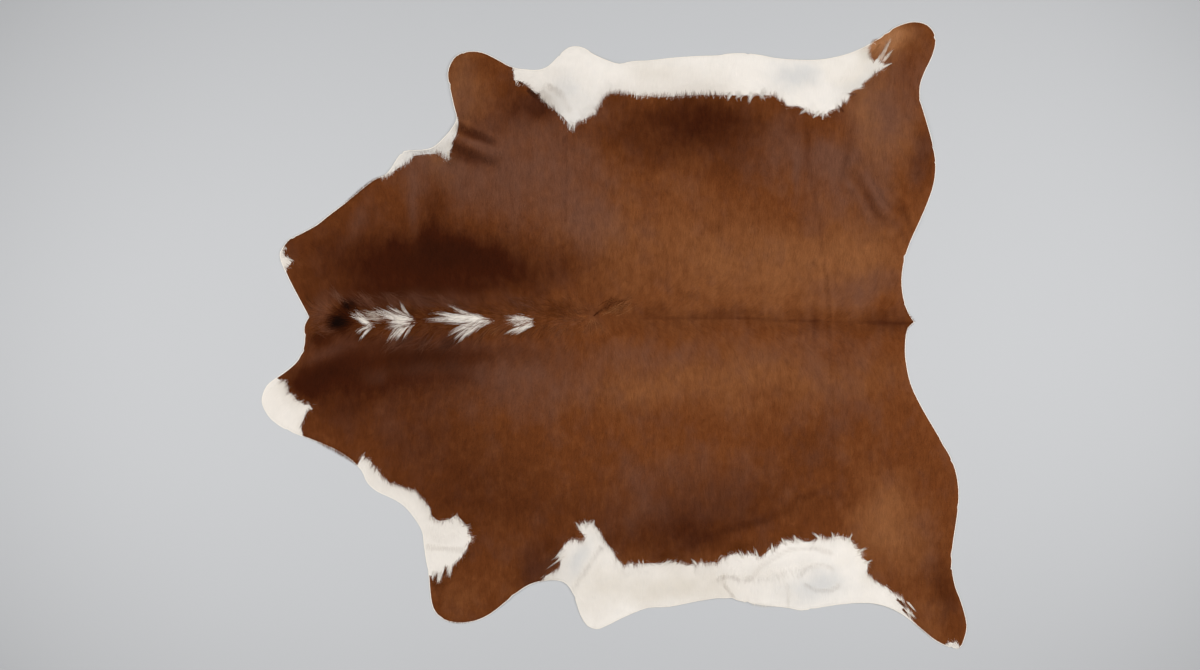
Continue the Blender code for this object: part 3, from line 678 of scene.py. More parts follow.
def white_depth(places):
    """How deep each place lies in white hair; below 0 it is in brown hair."""
    reach = 0.05
    depth = np.full(len(places), -reach)
    for patch in PATCHES:
        line = patch.border + patch.beyond
        apart = distance_to(line, places, reach, closed=True)
        depth = np.maximum(depth, np.where(inside(line, places), apart, -apart))
    return depth


def off_spine(places):
    """How far each place lies to the right of the backbone, below 0 to the left."""
    return places[:, 1] - np.interp(places[:, 0], SPINE_X, SPINE_Y)


# By the backbone the hair also runs along it, away from the whorl: SWAY in all, dying away
# outwards over SWAY_TURN, and changing its way at the whorl over SWAY_SOFT
SWAY = 0.150
SWAY_TURN = 0.085
SWAY_SOFT = 0.120


def hair_line(places):
    """A number that stays the same along one line of laid hair, and the distance run along it."""
    aside = np.abs(off_spine(places))
    sway = SWAY * np.tanh((places[:, 0] - WHORL[0]) / SWAY_SOFT)
    return places[:, 0] - sway * (1.0 - np.exp(-aside / SWAY_TURN)), aside


def heading(places):
    """The way the hair lies, as an angle from +X."""
    aside = off_spine(places)
    sway = SWAY * np.tanh((places[:, 0] - WHORL[0]) / SWAY_SOFT)
    x = sway / SWAY_TURN * np.exp(-np.abs(aside) / SWAY_TURN)
    y = np.tanh(aside / 0.004)
    size = np.hypot(x, y)
    x, y = x / size, y / size
    for comb in COMBS:
        apart = np.hypot(places[:, 0] - comb.x, places[:, 1] - comb.y)
        pull = 2.6 * (1.0 - smooth(apart / comb.reach)) ** 1.5
        x = x + pull * cos(radians(comb.heading))
        y = y + pull * sin(radians(comb.heading))
    return np.arctan2(y, x)


def tints(places):
    """The shades of the coat at each place: one column for each of HUES."""
    found = np.zeros((len(places), 3))
    drift = [0.034 * hills(places, 0.120, 41 + i) + 0.016 * hills(places, 0.045, 43 + i)
             + 0.006 * hills(places, 0.016, 45 + i) for i in (0, 1)]
    for tint in TINTS:
        turn = radians(tint.turn)
        fine = min(1.0, 14.0 * min(tint.reach_x, tint.reach_y))
        x = places[:, 0] - tint.x + fine * drift[0]
        y = places[:, 1] - tint.y + fine * drift[1]
        u = (cos(turn) * x + sin(turn) * y) / tint.reach_x
        v = (cos(turn) * y - sin(turn) * x) / tint.reach_y
        found[:, HUES.index(tint.hue)] += tint.amount * np.exp(-1.15 * (u * u + v * v))
    found[:, 0] += 0.30 * (1.0 - smooth((places[:, 0] + 0.95) / 1.15))
    # Painted shade along each crease, and a painted highlight where its shade is below 0
    for crease in CREASES:
        apart = distance_to(crease.line, places, 2.5 * crease.half_width)
        found[:, 0] += crease.shade * (1.0 - smooth(apart / (1.6 * crease.half_width)))
    return found


def fold_lift(places):
    """How far the folds lift the hide off the floor."""
    found = np.zeros(len(places))
    for fold in FOLDS:
        start, end = np.array(fold.start), np.array(fold.end)
        along = end - start
        share = (places - start) @ along / (along @ along)
        aside = np.linalg.norm(places - start - share[:, None] * along, axis=1)
        width = 0.5 + 0.5 * np.cos(pi * np.minimum(aside / fold.half_width, 1.0))
        past = np.clip((np.abs(share - 0.5) - 0.25) / 0.25, 0.0, 1.0)
        found = np.maximum(found, fold.height * width * (0.5 + 0.5 * np.cos(pi * past)))
    return found


def edge_lift(places, edge):
    """The edges' own slight waves, which die away inside the hide."""
    wave = np.clip(hills(places, 0.16, 21) + 0.15, 0.0, 1.0)
    return 0.0035 * wave * (1.0 - smooth(edge / 0.09))


def relief(places):
    """Creases and small unevenness of the hair side."""
    found = 0.00035 * hills(places, 0.055, 22) + 0.00020 * hills(places, (0.012, 0.040), 23)
    for crease in CREASES:
        apart = distance_to(crease.line, places, 2.0 * crease.half_width)
        found += crease.height * (1.0 - smooth(apart / (1.6 * crease.half_width)))
    return found


def skin_base(places, edge):
    """The underside's height off the floor."""
    return fold_lift(places) + edge_lift(places, edge)


def coat_base(places, edge, hide):
    """The height of the hair side, below the locks."""
    swell = smooth((edge - hide.lip) / 0.014)
    return skin_base(places, edge) + hide.skin + (hide.under_coat + relief(places)) * swell


# ---------------------------------------------------------------------------------------------
# Outline and meshes


def hide_outline():
    """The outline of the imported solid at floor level, in order, as rows (x, y)."""
    bm = bmesh.new()
    bm.from_mesh(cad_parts[NODE].data)
    bmesh.ops.remove_doubles(bm, verts=bm.verts[:], dist=1e-5)
    rim = set()
    for edge in bm.edges:
        rise = sorted(face.normal.z for face in edge.link_faces)
        if len(rise) == 2 and rise[0] < -0.8 and abs(rise[1]) < 0.4:
            rim.add(edge)
    vert = min(rim, key=lambda e: e.verts[0].co[:]).verts[0]
    line = []
    while True:
        line.append(vert.co.xy[:])
        onward = [e for e in vert.link_edges if e in rim]
        if not onward:
            break
        rim.discard(onward[0])
        vert = onward[0].other_vert(vert)
    bm.free()
    if len(line) < 100:
        raise RuntimeError("the packed hide's outline could not be followed")
    return np.array(line[:-1] if line[0] == line[-1] else line)


OUTLINE = hide_outline()


def cut_grid(bm, face, step):
    """Divide one flat face into a grid of cells."""
    cells = [face]
    for axis in (0, 1):
        waiting, cells = cells, []
        normal = [0.0, 0.0, 0.0]
        normal[axis] = 1.0
        low = min(v.co[axis] for f in waiting for v in f.verts)
        high = max(v.co[axis] for f in waiting for v in f.verts)
        for place in np.arange(low + step / 2.0, high, step):
            at = [0.0, 0.0, 0.0]
            at[axis] = place
            # Dictionaries keep their order, so that each run gives the same mesh
            edges = dict.fromkeys(e for f in waiting for e in f.edges)
            verts = dict.fromkeys(v for f in waiting for v in f.verts)
            cut = bmesh.ops.bisect_plane(bm, geom=[*waiting, *edges, *verts], dist=1e-6,
                                         plane_co=at, plane_no=normal)
            faces = [g for g in cut["geom"] if isinstance(g, bmesh.types.BMFace)]
            waiting = [f for f in faces if max(v.co[axis] for v in f.verts) > place + 1e-6]
            cells += [f for f in faces if max(v.co[axis] for v in f.verts) <= place + 1e-6]
        cells += waiting


# Widths of the slope inside the lip and of the suede side's rim
SHOULDER = 0.0034
SUEDE_RIM = 0.005


def sheet_bmesh(hide):
    """The hide as a flat closed slab: a lip, a shoulder and a fine grid on top, suede under."""
    bm = bmesh.new()
    low, high = ([bm.verts.new((x, y, z)) for x, y in OUTLINE] for z in (0.0, hide.skin))
    under, top = bm.faces.new(low), bm.faces.new(high)
    for i in range(len(low)):
        bm.faces.new((low[i - 1], low[i], high[i], high[i - 1]))
    bmesh.ops.recalc_face_normals(bm, faces=bm.faces[:])
    for width in (hide.lip, SHOULDER):
        bmesh.ops.inset_region(bm, faces=[top], thickness=width, use_even_offset=True)
    bmesh.ops.inset_region(bm, faces=[under], thickness=SUEDE_RIM, use_even_offset=True)
    cut_grid(bm, top, hide.top_grid)
    cut_grid(bm, under, hide.under_grid)
    bmesh.ops.triangulate(bm, faces=[f for f in bm.faces if len(f.verts) > 4])
    bmesh.ops.recalc_face_normals(bm, faces=bm.faces[:])
    return bm


def numbers(items, name, width):
    """An attribute of mesh elements as an array."""
    found = np.empty(len(items) * width, np.float32)
    items.foreach_get(name, found)
    return found.reshape(-1, width).astype(float)


def write_attribute(mesh, name, values):
    """Store one number or one vector for each point of a mesh."""
    kind, field = ("FLOAT", "value") if values.ndim == 1 else ("FLOAT_VECTOR", "vector")
    layer = mesh.attributes.new(name, kind, "POINT")
    layer.data.foreach_set(field, values.astype(np.float32).ravel())


def write_coat_fields(mesh, places, strand):
    """What the coat's material reads: whiteness, shades, the line of the hair and the lock."""
    line, run = hair_line(places)
    write_attribute(mesh, "whiteness", white_depth(places))
    write_attribute(mesh, "shades", tints(places))
    write_attribute(mesh, "lie", np.stack([line, run, np.zeros(len(places))], 1))
    write_attribute(mesh, "strand", strand)


def hair_template(sections):
    """One closed, tapered hair along +X, one long and one wide: its points and triangles."""
    bm = bmesh.new()
    bmesh.ops.create_cone(bm, segments=3, radius1=0.5, radius2=0.0, depth=1.0, cap_ends=True)
    bmesh.ops.rotate(bm, verts=bm.verts[:], matrix=Matrix.Rotation(pi / 2.0, 3, "Y"))
    bmesh.ops.rotate(bm, verts=bm.verts[:], matrix=Matrix.Rotation(pi, 3, "X"))
    bmesh.ops.translate(bm, verts=bm.verts[:], vec=(0.5, 0.0, 0.0))
    for i in range(1, sections):
        everything = bm.verts[:] + bm.edges[:] + bm.faces[:]
        bmesh.ops.bisect_plane(bm, geom=everything, dist=1e-6,
                               plane_co=(i / sections, 0.0, 0.0), plane_no=(1.0, 0.0, 0.0))
    for vert in bm.verts:
        fullness = (1.0 - vert.co.x) ** 0.55
        vert.co.yz = vert.co.yz * (fullness / max(1.0 - vert.co.x, 1e-6))
    bmesh.ops.triangulate(bm, faces=bm.faces[:])
    bmesh.ops.recalc_face_normals(bm, faces=bm.faces[:])
    bm.verts.index_update()
    points = np.array([v.co[:] for v in bm.verts])
    triangles = np.array([[v.index for v in f.verts] for f in bm.faces])
    bm.free()
    return points, triangles


# A hair's height as a share of its width, how far its shading turns to its sides and leans back
# to its root, and its least height over the floor
HAIR_HEIGHT = 0.4
HAIR_ROUND = 1.9
HAIR_LEAN = 0.12
FLOOR_GAP = 0.0002


def lay_hairs(name, sections, hairs, material):
    """One mesh of many hairs. Each row of hairs has its root, heading, length and so on."""
    points, triangles = hair_template(sections)
    count, each = len(hairs["heading"]), len(points)
    along, across, up = points.T
    column = {k: v[:, None] for k, v in hairs.items() if v.ndim == 1}
    middle = column["heading"] + column["curl"] * along / 2.0
    turned = column["heading"] + column["curl"] * along
    place = np.empty((count, each, 3))
    place[:, :, 0] = (hairs["root"][:, None, 0] + column["length"] * along * np.cos(middle)
                      - column["width"] * across * np.sin(turned))
    place[:, :, 1] = (hairs["root"][:, None, 1] + column["length"] * along * np.sin(middle)
                      + column["width"] * across * np.cos(turned))
    arch = along * (1.0 + column["arch"] * (1.0 - along))
    place[:, :, 2] = (hairs["root"][:, None, 2] + column["rise"] * arch
                      + column["climb"] * along + HAIR_HEIGHT * column["width"] * up)
    np.maximum(place[:, :, 2], FLOOR_GAP, out=place[:, :, 2])
    facing = np.empty_like(place)
    facing[:, :, 0] = -HAIR_ROUND * across * np.sin(turned) - HAIR_LEAN * np.cos(turned)
    facing[:, :, 1] = HAIR_ROUND * across * np.cos(turned) - HAIR_LEAN * np.sin(turned)
    facing[:, :, 2] = 1.0
    facing /= np.linalg.norm(facing, axis=2, keepdims=True)

    mesh = bpy.data.meshes.new(name)
    corners = (triangles[None] + each * np.arange(count)[:, None, None]).reshape(-1, 3)
    mesh.vertices.add(count * each)
    mesh.vertices.foreach_set("co", place.astype(np.float32).ravel())
    mesh.loops.add(corners.size)
    mesh.loops.foreach_set("vertex_index", corners.astype(np.int32).ravel())
    mesh.polygons.add(len(corners))
    starts = np.arange(0, corners.size, 3, dtype=np.int32)
    mesh.polygons.foreach_set("loop_start", starts)
    mesh.update(calc_edges=True)
    mesh.normals_split_custom_set_from_vertices(facing.reshape(-1, 3))

    line, run = hair_line(hairs["root"][:, :2])
    lie = np.stack([line, run, np.zeros(count)], 1)
    strand = np.stack([
        np.broadcast_to(along, (count, each)),
        column["width"] * across,
        np.broadcast_to(column["tone"], (count, each)),
    ], 2)
    write_attribute(mesh, "whiteness", np.repeat(hairs["whiteness"], each))
    write_attribute(mesh, "shades", np.repeat(hairs["shades"], each, axis=0))
    write_attribute(mesh, "lie", np.repeat(lie, each, axis=0))
    write_attribute(mesh, "strand", strand.reshape(-1, 3))
    mesh.materials.append(material)
    return add_piece(name, mesh)


def add_piece(name, mesh):
    """A finished piece, linked to the scene and parented to the hide's body."""
    piece = bpy.data.objects.new(name, mesh)
    bpy.context.scene.collection.objects.link(piece)
    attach(piece, "root")
    return piece


def select(hairs, keep):
    """The rows of hairs that are kept."""
    return {k: v[keep] for k, v in hairs.items()}


# ---------------------------------------------------------------------------------------------
# Materials


class Socket:
    """A value in a node tree. Arithmetic on it adds Math nodes."""

    def __init__(self, nodes, out):
        self.nodes = nodes
        self.out = out

    def math(self, operation, *values):
        inputs = dict(enumerate(values))
        return self.nodes.add("ShaderNodeMath", {"operation": operation}, inputs)

    def __add__(self, other):
        return self.math("ADD", self, other)

    def __radd__(self, other):
        return self.math("ADD", other, self)

    def __sub__(self, other):
        return self.math("SUBTRACT", self, other)

    def __rsub__(self, other):
        return self.math("SUBTRACT", other, self)

    def __mul__(self, other):
        return self.math("MULTIPLY", self, other)

    def limited(self):
        """The value held between 0 and 1."""
        settings = {"operation": "ADD", "use_clamp": True}
        return self.nodes.add("ShaderNodeMath", settings, {0: self, 1: 0.0})

    def stepped(self, low, high):
        """0 below low, 1 above high, and smooth between."""
        settings = {"interpolation_type": "SMOOTHSTEP"}
        return self.nodes.add("ShaderNodeMapRange", settings,
                              {"Value": self, "From Min": low, "From Max": high})


class Nodes:
    """The node tree of one material."""

    def __init__(self, name):
        self.material = bpy.data.materials.new(name)
        self.material.use_nodes = True
        self.tree = self.material.node_tree
        self.shader = self.tree.nodes["Principled BSDF"]

    def put(self, socket, value):
        """Link or set one input."""
        if isinstance(value, Socket):
            self.tree.links.new(value.out, socket)
        else:
            socket.default_value = value

    def add(self, kind, settings=None, inputs=None, output=0):
        """A node of one kind, its settings set before its inputs, and one of its outputs."""
        node = self.tree.nodes.new(kind)
        for name, value in (settings or {}).items():
            setattr(node, name, value)
        for key, value in (inputs or {}).items():
            self.put(node.inputs[key], value)
        return Socket(self, node.outputs[output])

    def attribute(self, name, output="Fac"):
        return self.add("ShaderNodeAttribute", {"attribute_name": name}, output=output)

    def parts(self, vector):
        """The three numbers of a vector."""
        node = self.tree.nodes.new("ShaderNodeSeparateXYZ")
        self.put(node.inputs[0], vector)
        return [Socket(self, out) for out in node.outputs]

    def scaled(self, vector, scale):
        """A vector with each of its axes scaled."""
        settings = {"operation": "MULTIPLY"}
        return self.add("ShaderNodeVectorMath", settings, {0: vector, 1: scale})

    def noise(self, vector, scale=1.0, detail=2.0, roughness=0.5):
        """A noise of about 0 to 1 round 0.5."""
        inputs = {"Vector": vector, "Scale": scale, "Detail": detail, "Roughness": roughness}
        return self.add("ShaderNodeTexNoise", None, inputs)

    def blend(self, share, first, second):
        """One colour turning into another."""
        settings = {"data_type": "RGBA", "clamp_factor": True}
        return self.add("ShaderNodeMix", settings, {0: share, 6: first, 7: second}, output=2)

    def brightened(self, colour, factor):
        """A colour with its value multiplied."""
        return self.add("ShaderNodeHueSaturation", None, {"Value": factor, "Color": colour})

    def bump(self, height, distance, strength=1.0):
        inputs = {"Height": height, "Distance": distance, "Strength": strength}
        return self.add("ShaderNodeBump", None, inputs)

    def finish(self, **inputs):
        """Set the shader's own inputs, with underscores for spaces in their names."""
        for name, value in inputs.items():
            self.put(self.shader.inputs[name.replace("_", " ")], value)
        return self.material


def coat_material():
    """Laid hair, white or brown by the root, tinted over the hide with painted shade in creases and
    troughs and painted sheen in mauve, and streaked along its lie.
    """
    made = bpy.data.materials.get("laid_hair")
    if made:
        return made
    colours = bpy.context.scene.hide_colours
    nodes = Nodes("laid_hair")
    place = nodes.add("ShaderNodeTexCoord", output="Object")
    lie = nodes.attribute("lie", "Vector")
    along, _, tone = nodes.parts(nodes.attribute("strand", "Vector"))
    dark, gold, mauve = nodes.parts(nodes.attribute("shades", "Vector"))
    whiteness = nodes.attribute("whiteness")

    streaks = nodes.noise(nodes.scaled(lie, (300.0, 45.0, 1.0)), detail=3.0, roughness=0.6)
    bands = nodes.noise(nodes.scaled(place, (48.0, 20.0, 1.0)), detail=3.0, roughness=0.6)
    clouds = nodes.noise(place, scale=7.0, detail=3.0, roughness=0.55)
    mottle = nodes.noise(place, scale=38.0, detail=2.0)
    specks = nodes.noise(place, scale=230.0, detail=2.0)

    shift = (clouds - 0.5) * 0.9 + (bands - 0.5) * 0.7 + (mottle - 0.5) * 0.35
    brown = nodes.blend((gold + shift * 0.5).limited(), tuple(colours.chestnut),
                        tuple(colours.gold))
    brown = nodes.blend((gold - 1.0).limited(), brown, tuple(colours.straw))
    # Painted sheen: mauve greys the brown in patches where light would glance off the hair
    veil = nodes.noise(nodes.scaled(place, (14.0, 10.0, 1.0)), detail=4.0, roughness=0.6)
    brown = nodes.blend((mauve + (veil - 0.5) * 1.6).limited() * 0.85, brown,
                        tuple(colours.mauve))
    # Dark darkens the brown: its own darker hair, and painted shade in creases and troughs
    depth = (dark - shift * 0.35).limited() * (1.0 - mauve.limited() * 0.40)
    brown = nodes.blend(depth, brown, tuple(colours.deep))
    brown = nodes.blend((dark - 1.05).limited(), brown, tuple(colours.black))
    sheen = 1.0 + tone * 0.15 + (streaks - 0.5) * 0.26 + (bands - 0.5) * 0.24
    sheen = sheen + (along - 0.45) * 0.22 + (mottle - 0.5) * 0.18 + (specks - 0.5) * 0.24
    brown = nodes.brightened(brown, sheen)

    white = nodes.blend((gold + (clouds - 0.5) * 1.4).limited(), tuple(colours.white),
                        tuple(colours.cream))
    white = nodes.blend((gold - 1.0).limited() * 0.45, white, tuple(colours.straw))
    white = nodes.blend((mauve + (mottle - 0.5) * 0.3).limited(), white, tuple(colours.grey))
    white = nodes.blend((dark * 0.8).limited(), white, tuple(colours.shadow))
    white = nodes.brightened(white, 1.0 + tone * 0.035 + (streaks - 0.5) * 0.10)

    is_white = (whiteness + (streaks - 0.5) * 0.004).stepped(-0.0008, 0.0008)
    nodes.finish(
        Base_Color=nodes.blend(is_white, brown, white),
        Roughness=(0.50 + (streaks - 0.5) * 0.25 + is_white * 0.12).limited(),
        Normal=nodes.bump(nodes.noise(nodes.scaled(lie, (1600.0, 40.0, 1.0)), detail=2.0),
                          0.00035, 0.5),
        Specular_IOR_Level=0.02,
    )
    return nodes.material


def edge_material():
    """The pale fibrous leather of the cut edge."""
    colours = bpy.context.scene.hide_colours
    nodes = Nodes("cut_leather")
    place = nodes.add("ShaderNodeTexCoord", output="Object")
    fibres = nodes.noise(place, scale=420.0, detail=3.0, roughness=0.7)
    stain = nodes.noise(place, scale=24.0, detail=2.0)
    colour = nodes.brightened(tuple(colours.leather), 0.72 + fibres * 0.4 + stain * 0.2)
    return nodes.finish(
        Base_Color=colour,
        Roughness=(0.75 + fibres * 0.2).limited(),
        Normal=nodes.bump(fibres, 0.0004, 0.6),
        Specular_IOR_Level=0.2,
    )


def suede_material():
    """The flesh side: short pale nap with cloudy stretch marks."""
    colours = bpy.context.scene.hide_colours
    nodes = Nodes("suede")
    place = nodes.add("ShaderNodeTexCoord", output="Object")
    nap = nodes.noise(place, scale=900.0, detail=3.0, roughness=0.7)
    clouds = nodes.noise(place, scale=6.0, detail=4.0, roughness=0.6)
    marks = nodes.noise(nodes.scaled(place, (9.0, 60.0, 9.0)), detail=3.0)
    value = 0.70 + nap * 0.22 + clouds * 0.28 + marks * 0.12
    return nodes.finish(
        Base_Color=nodes.brightened(tuple(colours.suede), value),
        Roughness=(0.85 + nap * 0.1).limited(),
        Normal=nodes.bump(nap + marks * 0.6, 0.0006, 0.6),
        Specular_IOR_Level=0.15,
        Sheen_Weight=0.25,
        Sheen_Roughness=0.6,
    )


def floor_material():
    """A pale floor, painted darker far from its middle as though the light fell off there."""
    stage = bpy.context.scene.hide_stage
    nodes = Nodes("plain_floor")
    place = nodes.add("ShaderNodeTexCoord", output="Object")
    clouds = nodes.noise(place, scale=0.8, detail=2.0)
    x, y, _ = nodes.parts(place)
    spread = x * x + y * y
    # Painted shade: the floor darkens far from the middle, where the light would fall off
    painted_falloff = (spread * spread * 0.040).limited() * 0.25
    return nodes.finish(
        Base_Color=nodes.brightened(tuple(stage.floor), 0.985 + clouds * 0.04 - painted_falloff),
        Roughness=0.9,
        Specular_IOR_Level=0.1,
    )


# ---------------------------------------------------------------------------------------------
# Operators


class HIDE_OT_sheet(bpy.types.Operator):
    """Make the tanned skin with its under coat, cut edge and suede side."""

    bl_idname = "hide.sheet"
    bl_label = "Hide sheet"

    def execute(self, context):
        hide = context.scene.hide_sizes
        bm = sheet_bmesh(hide)
        mesh = bpy.data.meshes.new("hide_sheet")
        bm.to_mesh(mesh)
        bm.free()
        point = numbers(mesh.vertices, "co", 3)
        places = point[:, :2]
        edge = distance_to(OUTLINE, places, 0.10, closed=True)
        on_top = point[:, 2] > hide.skin / 2.0
        point[:, 2] = np.where(on_top, coat_base(places, edge, hide), skin_base(places, edge))
        mesh.vertices.foreach_set("co", point.astype(np.float32).ravel())
        mesh.update()
        self.assign_materials(mesh, hide)
        strand = np.tile((0.30, 0.0, 0.0), (len(places), 1))
        write_coat_fields(mesh, places, strand)
        mesh.shade_smooth()
        mesh.set_sharp_from_angle(angle=radians(50.0))
        sheet = add_piece("hide_sheet", mesh)
        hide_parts(NODE)
        return {"FINISHED"}

    def assign_materials(self, mesh, hide):
        """Coat on top, leather on the rim and the lip, suede below."""
        for material in (coat_material(), edge_material(), suede_material()):
            mesh.materials.append(material)
        middle = numbers(mesh.polygons, "center", 3)
        normal = numbers(mesh.polygons, "normal", 3)
        edge = distance_to(OUTLINE, middle[:, :2], 0.02, closed=True)
        slot = np.where(normal[:, 2] > 0.5, 0, 1)
        slot[(normal[:, 2] > 0.5) & (edge < hide.lip)] = 1
        slot[normal[:, 2] < -0.5] = 2
        mesh.polygons.foreach_set("material_index", slot.astype(np.int32))


def scattered_roots(spacing, rng):
    """Roots all over the hide, one in each cell of a grid, moved at random in its cell."""
    low, high = OUTLINE.min(0), OUTLINE.max(0)
    x, y = (np.arange(low[i], high[i], spacing) for i in (0, 1))
    roots = np.stack(np.meshgrid(x, y), -1).reshape(-1, 2)
    roots += rng.uniform(-0.5, 0.5, roots.shape) * spacing
    return roots[inside(OUTLINE, roots)]


def hair_rows(roots, angle, length, width, rise, arch, curl, tone, whiteness, shades):
    """Rows of hairs that follow the hide: each knows how far the skin climbs up to its tip."""
    hide = bpy.context.scene.hide_sizes
    edge = distance_to(OUTLINE, roots, 0.10, closed=True)
    aim = angle + curl / 2.0
    step = np.stack([np.cos(aim), np.sin(aim)], 1)
    over = ~inside(OUTLINE, roots + length[:, None] * step)
    length = np.where(over, np.minimum(length, edge + overhang(roots)), length)
    tips = roots + length[:, None] * step
    tip_edge = np.where(over, 0.0, distance_to(OUTLINE, tips, 0.10, closed=True))
    base = coat_base(roots, edge, hide)
    return {
        "root": np.column_stack([roots, base - 0.0004]),
        "heading": angle,
        "length": length,
        "width": width,
        "rise": rise * smooth(edge / 0.02),
        "climb": coat_base(tips, tip_edge, hide) - base,
        "arch": arch,
        "curl": curl,
        "tone": tone,
        "whiteness": whiteness,
        "shades": shades,
    }


def overhang(places):
    """How far hair may hang over the cut edge."""
    found = np.full(len(places), 0.0002)
    for fringe in FRINGES:
        apart = np.hypot(places[:, 0] - fringe.x, places[:, 1] - fringe.y)
        found += fringe.overhang * (1.0 - smooth(apart / fringe.reach))
    return found


def shown_at(roots, angle, ahead):
    """Where a hair shows: it is hidden by others near its root."""
    return roots + ahead[:, None] * np.stack([np.cos(angle), np.sin(angle)], 1)


def mingled(roots, coat):
    """White depth of the hair that shows ahead of each root, in clumps along its lie."""
    line = np.stack(hair_line(roots), 1)
    lead = 0.42 * coat.length + coat.comb_out * hills(line, (0.008, 0.060), 35)
    fine = hills(line, (0.0035, 0.020), 32) + 0.5 * hills(roots, 0.012, 33)
    return white_depth(shown_at(roots, heading(roots), lead)) + coat.ragged * fine


def coat_hairs(roots, rng, length, width, rise):
    """Rows of laid hairs at these roots."""
    hide, coat = bpy.context.scene.hide_sizes, bpy.context.scene.hide_coat
    edge = distance_to(OUTLINE, roots, 0.02, closed=True)
    roots = roots[edge > hide.lip]
    count = len(roots)
    clumps = hills(np.stack(hair_line(roots), 1), (0.006, 0.030), 31)
    whiteness = mingled(roots, coat)
    white = smooth(whiteness / 0.002)
    stray = rng.uniform(0.0, 1.0, count) < 0.04
    angle = heading(roots) + rng.normal(0.0, 0.12, count) * np.where(stray, 3.0, 1.0)
    angle += 0.20 * hills(roots, 0.050, 34) + 0.10 * hills(roots, 0.018, 38)
    length = length * rng.uniform(0.75, 1.2, count)
    return hair_rows(
        roots, angle,
        length=length,
        width=width * rng.uniform(0.8, 1.2, count) * (1.0 + 0.25 * white),
        rise=rise * rng.uniform(0.5, 1.4, count) * (1.0 - 0.55 * white) + 0.0006 * stray,
        arch=rng.uniform(0.2, 0.9, count),
        curl=rng.normal(0.0, 0.15, count),
        tone=rng.normal(0.0, 0.4, count) + 0.4 * clumps + 0.9 * stray,
        whiteness=whiteness,
        shades=tints(shown_at(roots, angle, 0.4 * length)),
    )


# The band of finer hair on each side of a border, and the distance between its roots
BORDER_BAND = 0.015
BORDER_SPACING = 0.0028


def border_roots(rng):
    """Roots close to the border of white and brown."""
    found = []
    for patch in PATCHES:
        line = np.array(patch.border)
        run = np.r_[0.0, np.cumsum(np.linalg.norm(np.diff(line, axis=0), axis=1))]
        at = rng.uniform(0.0, run[-1], int(run[-1] * 2.0 * BORDER_BAND / BORDER_SPACING ** 2))
        spot = np.stack([np.interp(at, run, line[:, i]) for i in (0, 1)], 1)
        found.append(spot + rng.uniform(-BORDER_BAND, BORDER_BAND, spot.shape))
    roots = np.concatenate(found)
    return roots[inside(OUTLINE, roots)]


# The mane's run from the whorl to the neck, and the sizes of single hairs on it
MANE_RUN = 0.86
MANE_HAIR_WIDTH = 0.0017
MANE_HAIR_RISE = 0.0045
WHITE_HAIR_WIDTH = 0.0015
BROWN_HAIR_WIDTH = 0.0012


def mane_hairs(rng, count):
    """Longer hair along the backbone, from the whorl to the neck."""
    coat = bpy.context.scene.hide_coat
    x = WHORL[0] - MANE_RUN * rng.uniform(0.0, 1.0, count) ** 0.9
    aside = rng.normal(0.0, 0.42, count) * coat.mane_width
    roots = np.column_stack([x, np.interp(x, SPINE_X, SPINE_Y) + aside])
    roots = roots[inside(OUTLINE, roots)]
    keep = len(roots)
    share = off_spine(roots) / coat.mane_width
    swirl = hills(roots, (0.060, 0.020), 36)
    angle = pi - radians(30.0) * np.clip(share, -1.6, 1.6) + 0.40 * swirl
    angle = angle + rng.normal(0.0, 0.24, keep)
    near = smooth((WHORL[0] - roots[:, 0]) / 0.10)
    length = coat.mane_length * rng.uniform(0.6, 1.15, keep) * (0.45 + 0.55 * near)
    return hair_rows(
        roots, angle,
        length=length,
        width=MANE_HAIR_WIDTH * rng.uniform(0.8, 1.2, keep),
        rise=MANE_HAIR_RISE * rng.uniform(0.3, 1.2, keep) * (0.4 + 0.6 * near),
        arch=rng.uniform(0.4, 1.4, keep),
        curl=-0.5 * share + rng.normal(0.0, 0.22, keep),
        tone=rng.normal(0.0, 0.8, keep) + 1.2 * hills(roots, (0.05, 0.008), 37),
        whiteness=np.full(keep, -0.02),
        shades=tints(shown_at(roots, angle, 0.5 * length)) + rng.normal(0.0, 0.15, (keep, 3)),
    )


def lock_hairs(rng):
    """The bundles of LOCKS, hair by hair."""
    rows = []
    for lock in LOCKS:
        root, tip = np.array(lock.root), np.array(lock.tip)
        count = lock.hairs
        roots = root + rng.normal(0.0, 0.5, (count, 2)) * lock.root_spread
        tips = tip + rng.normal(0.0, 0.5, (count, 2)) * lock.tip_spread
        apart = tips - roots
        bend = np.full(count, radians(lock.bend)) + rng.normal(0.0, 0.16, count)
        length = np.linalg.norm(apart, axis=1) * rng.uniform(0.50, 1.15, count)
        white, added = KINDS[lock.kind]
        width = WHITE_HAIR_WIDTH if white > 0.0 else BROWN_HAIR_WIDTH
        rows.append(hair_rows(
            roots, np.arctan2(apart[:, 1], apart[:, 0]) - bend / 2.0,
            length=length,
            width=width * rng.uniform(0.7, 1.2, count),
            rise=rng.uniform(0.0020, 0.0050, count),
            arch=rng.uniform(0.5, 1.6, count),
            curl=bend,
            tone=rng.normal(0.0, 1.0, count),
            whiteness=np.full(count, white),
            shades=tints(tips) + np.array(added) + rng.normal(0.0, 0.25, (count, 3)),
        ))
    return {k: np.concatenate([row[k] for row in rows]) for k in rows[0]}


COAT_PARTING = 0.03


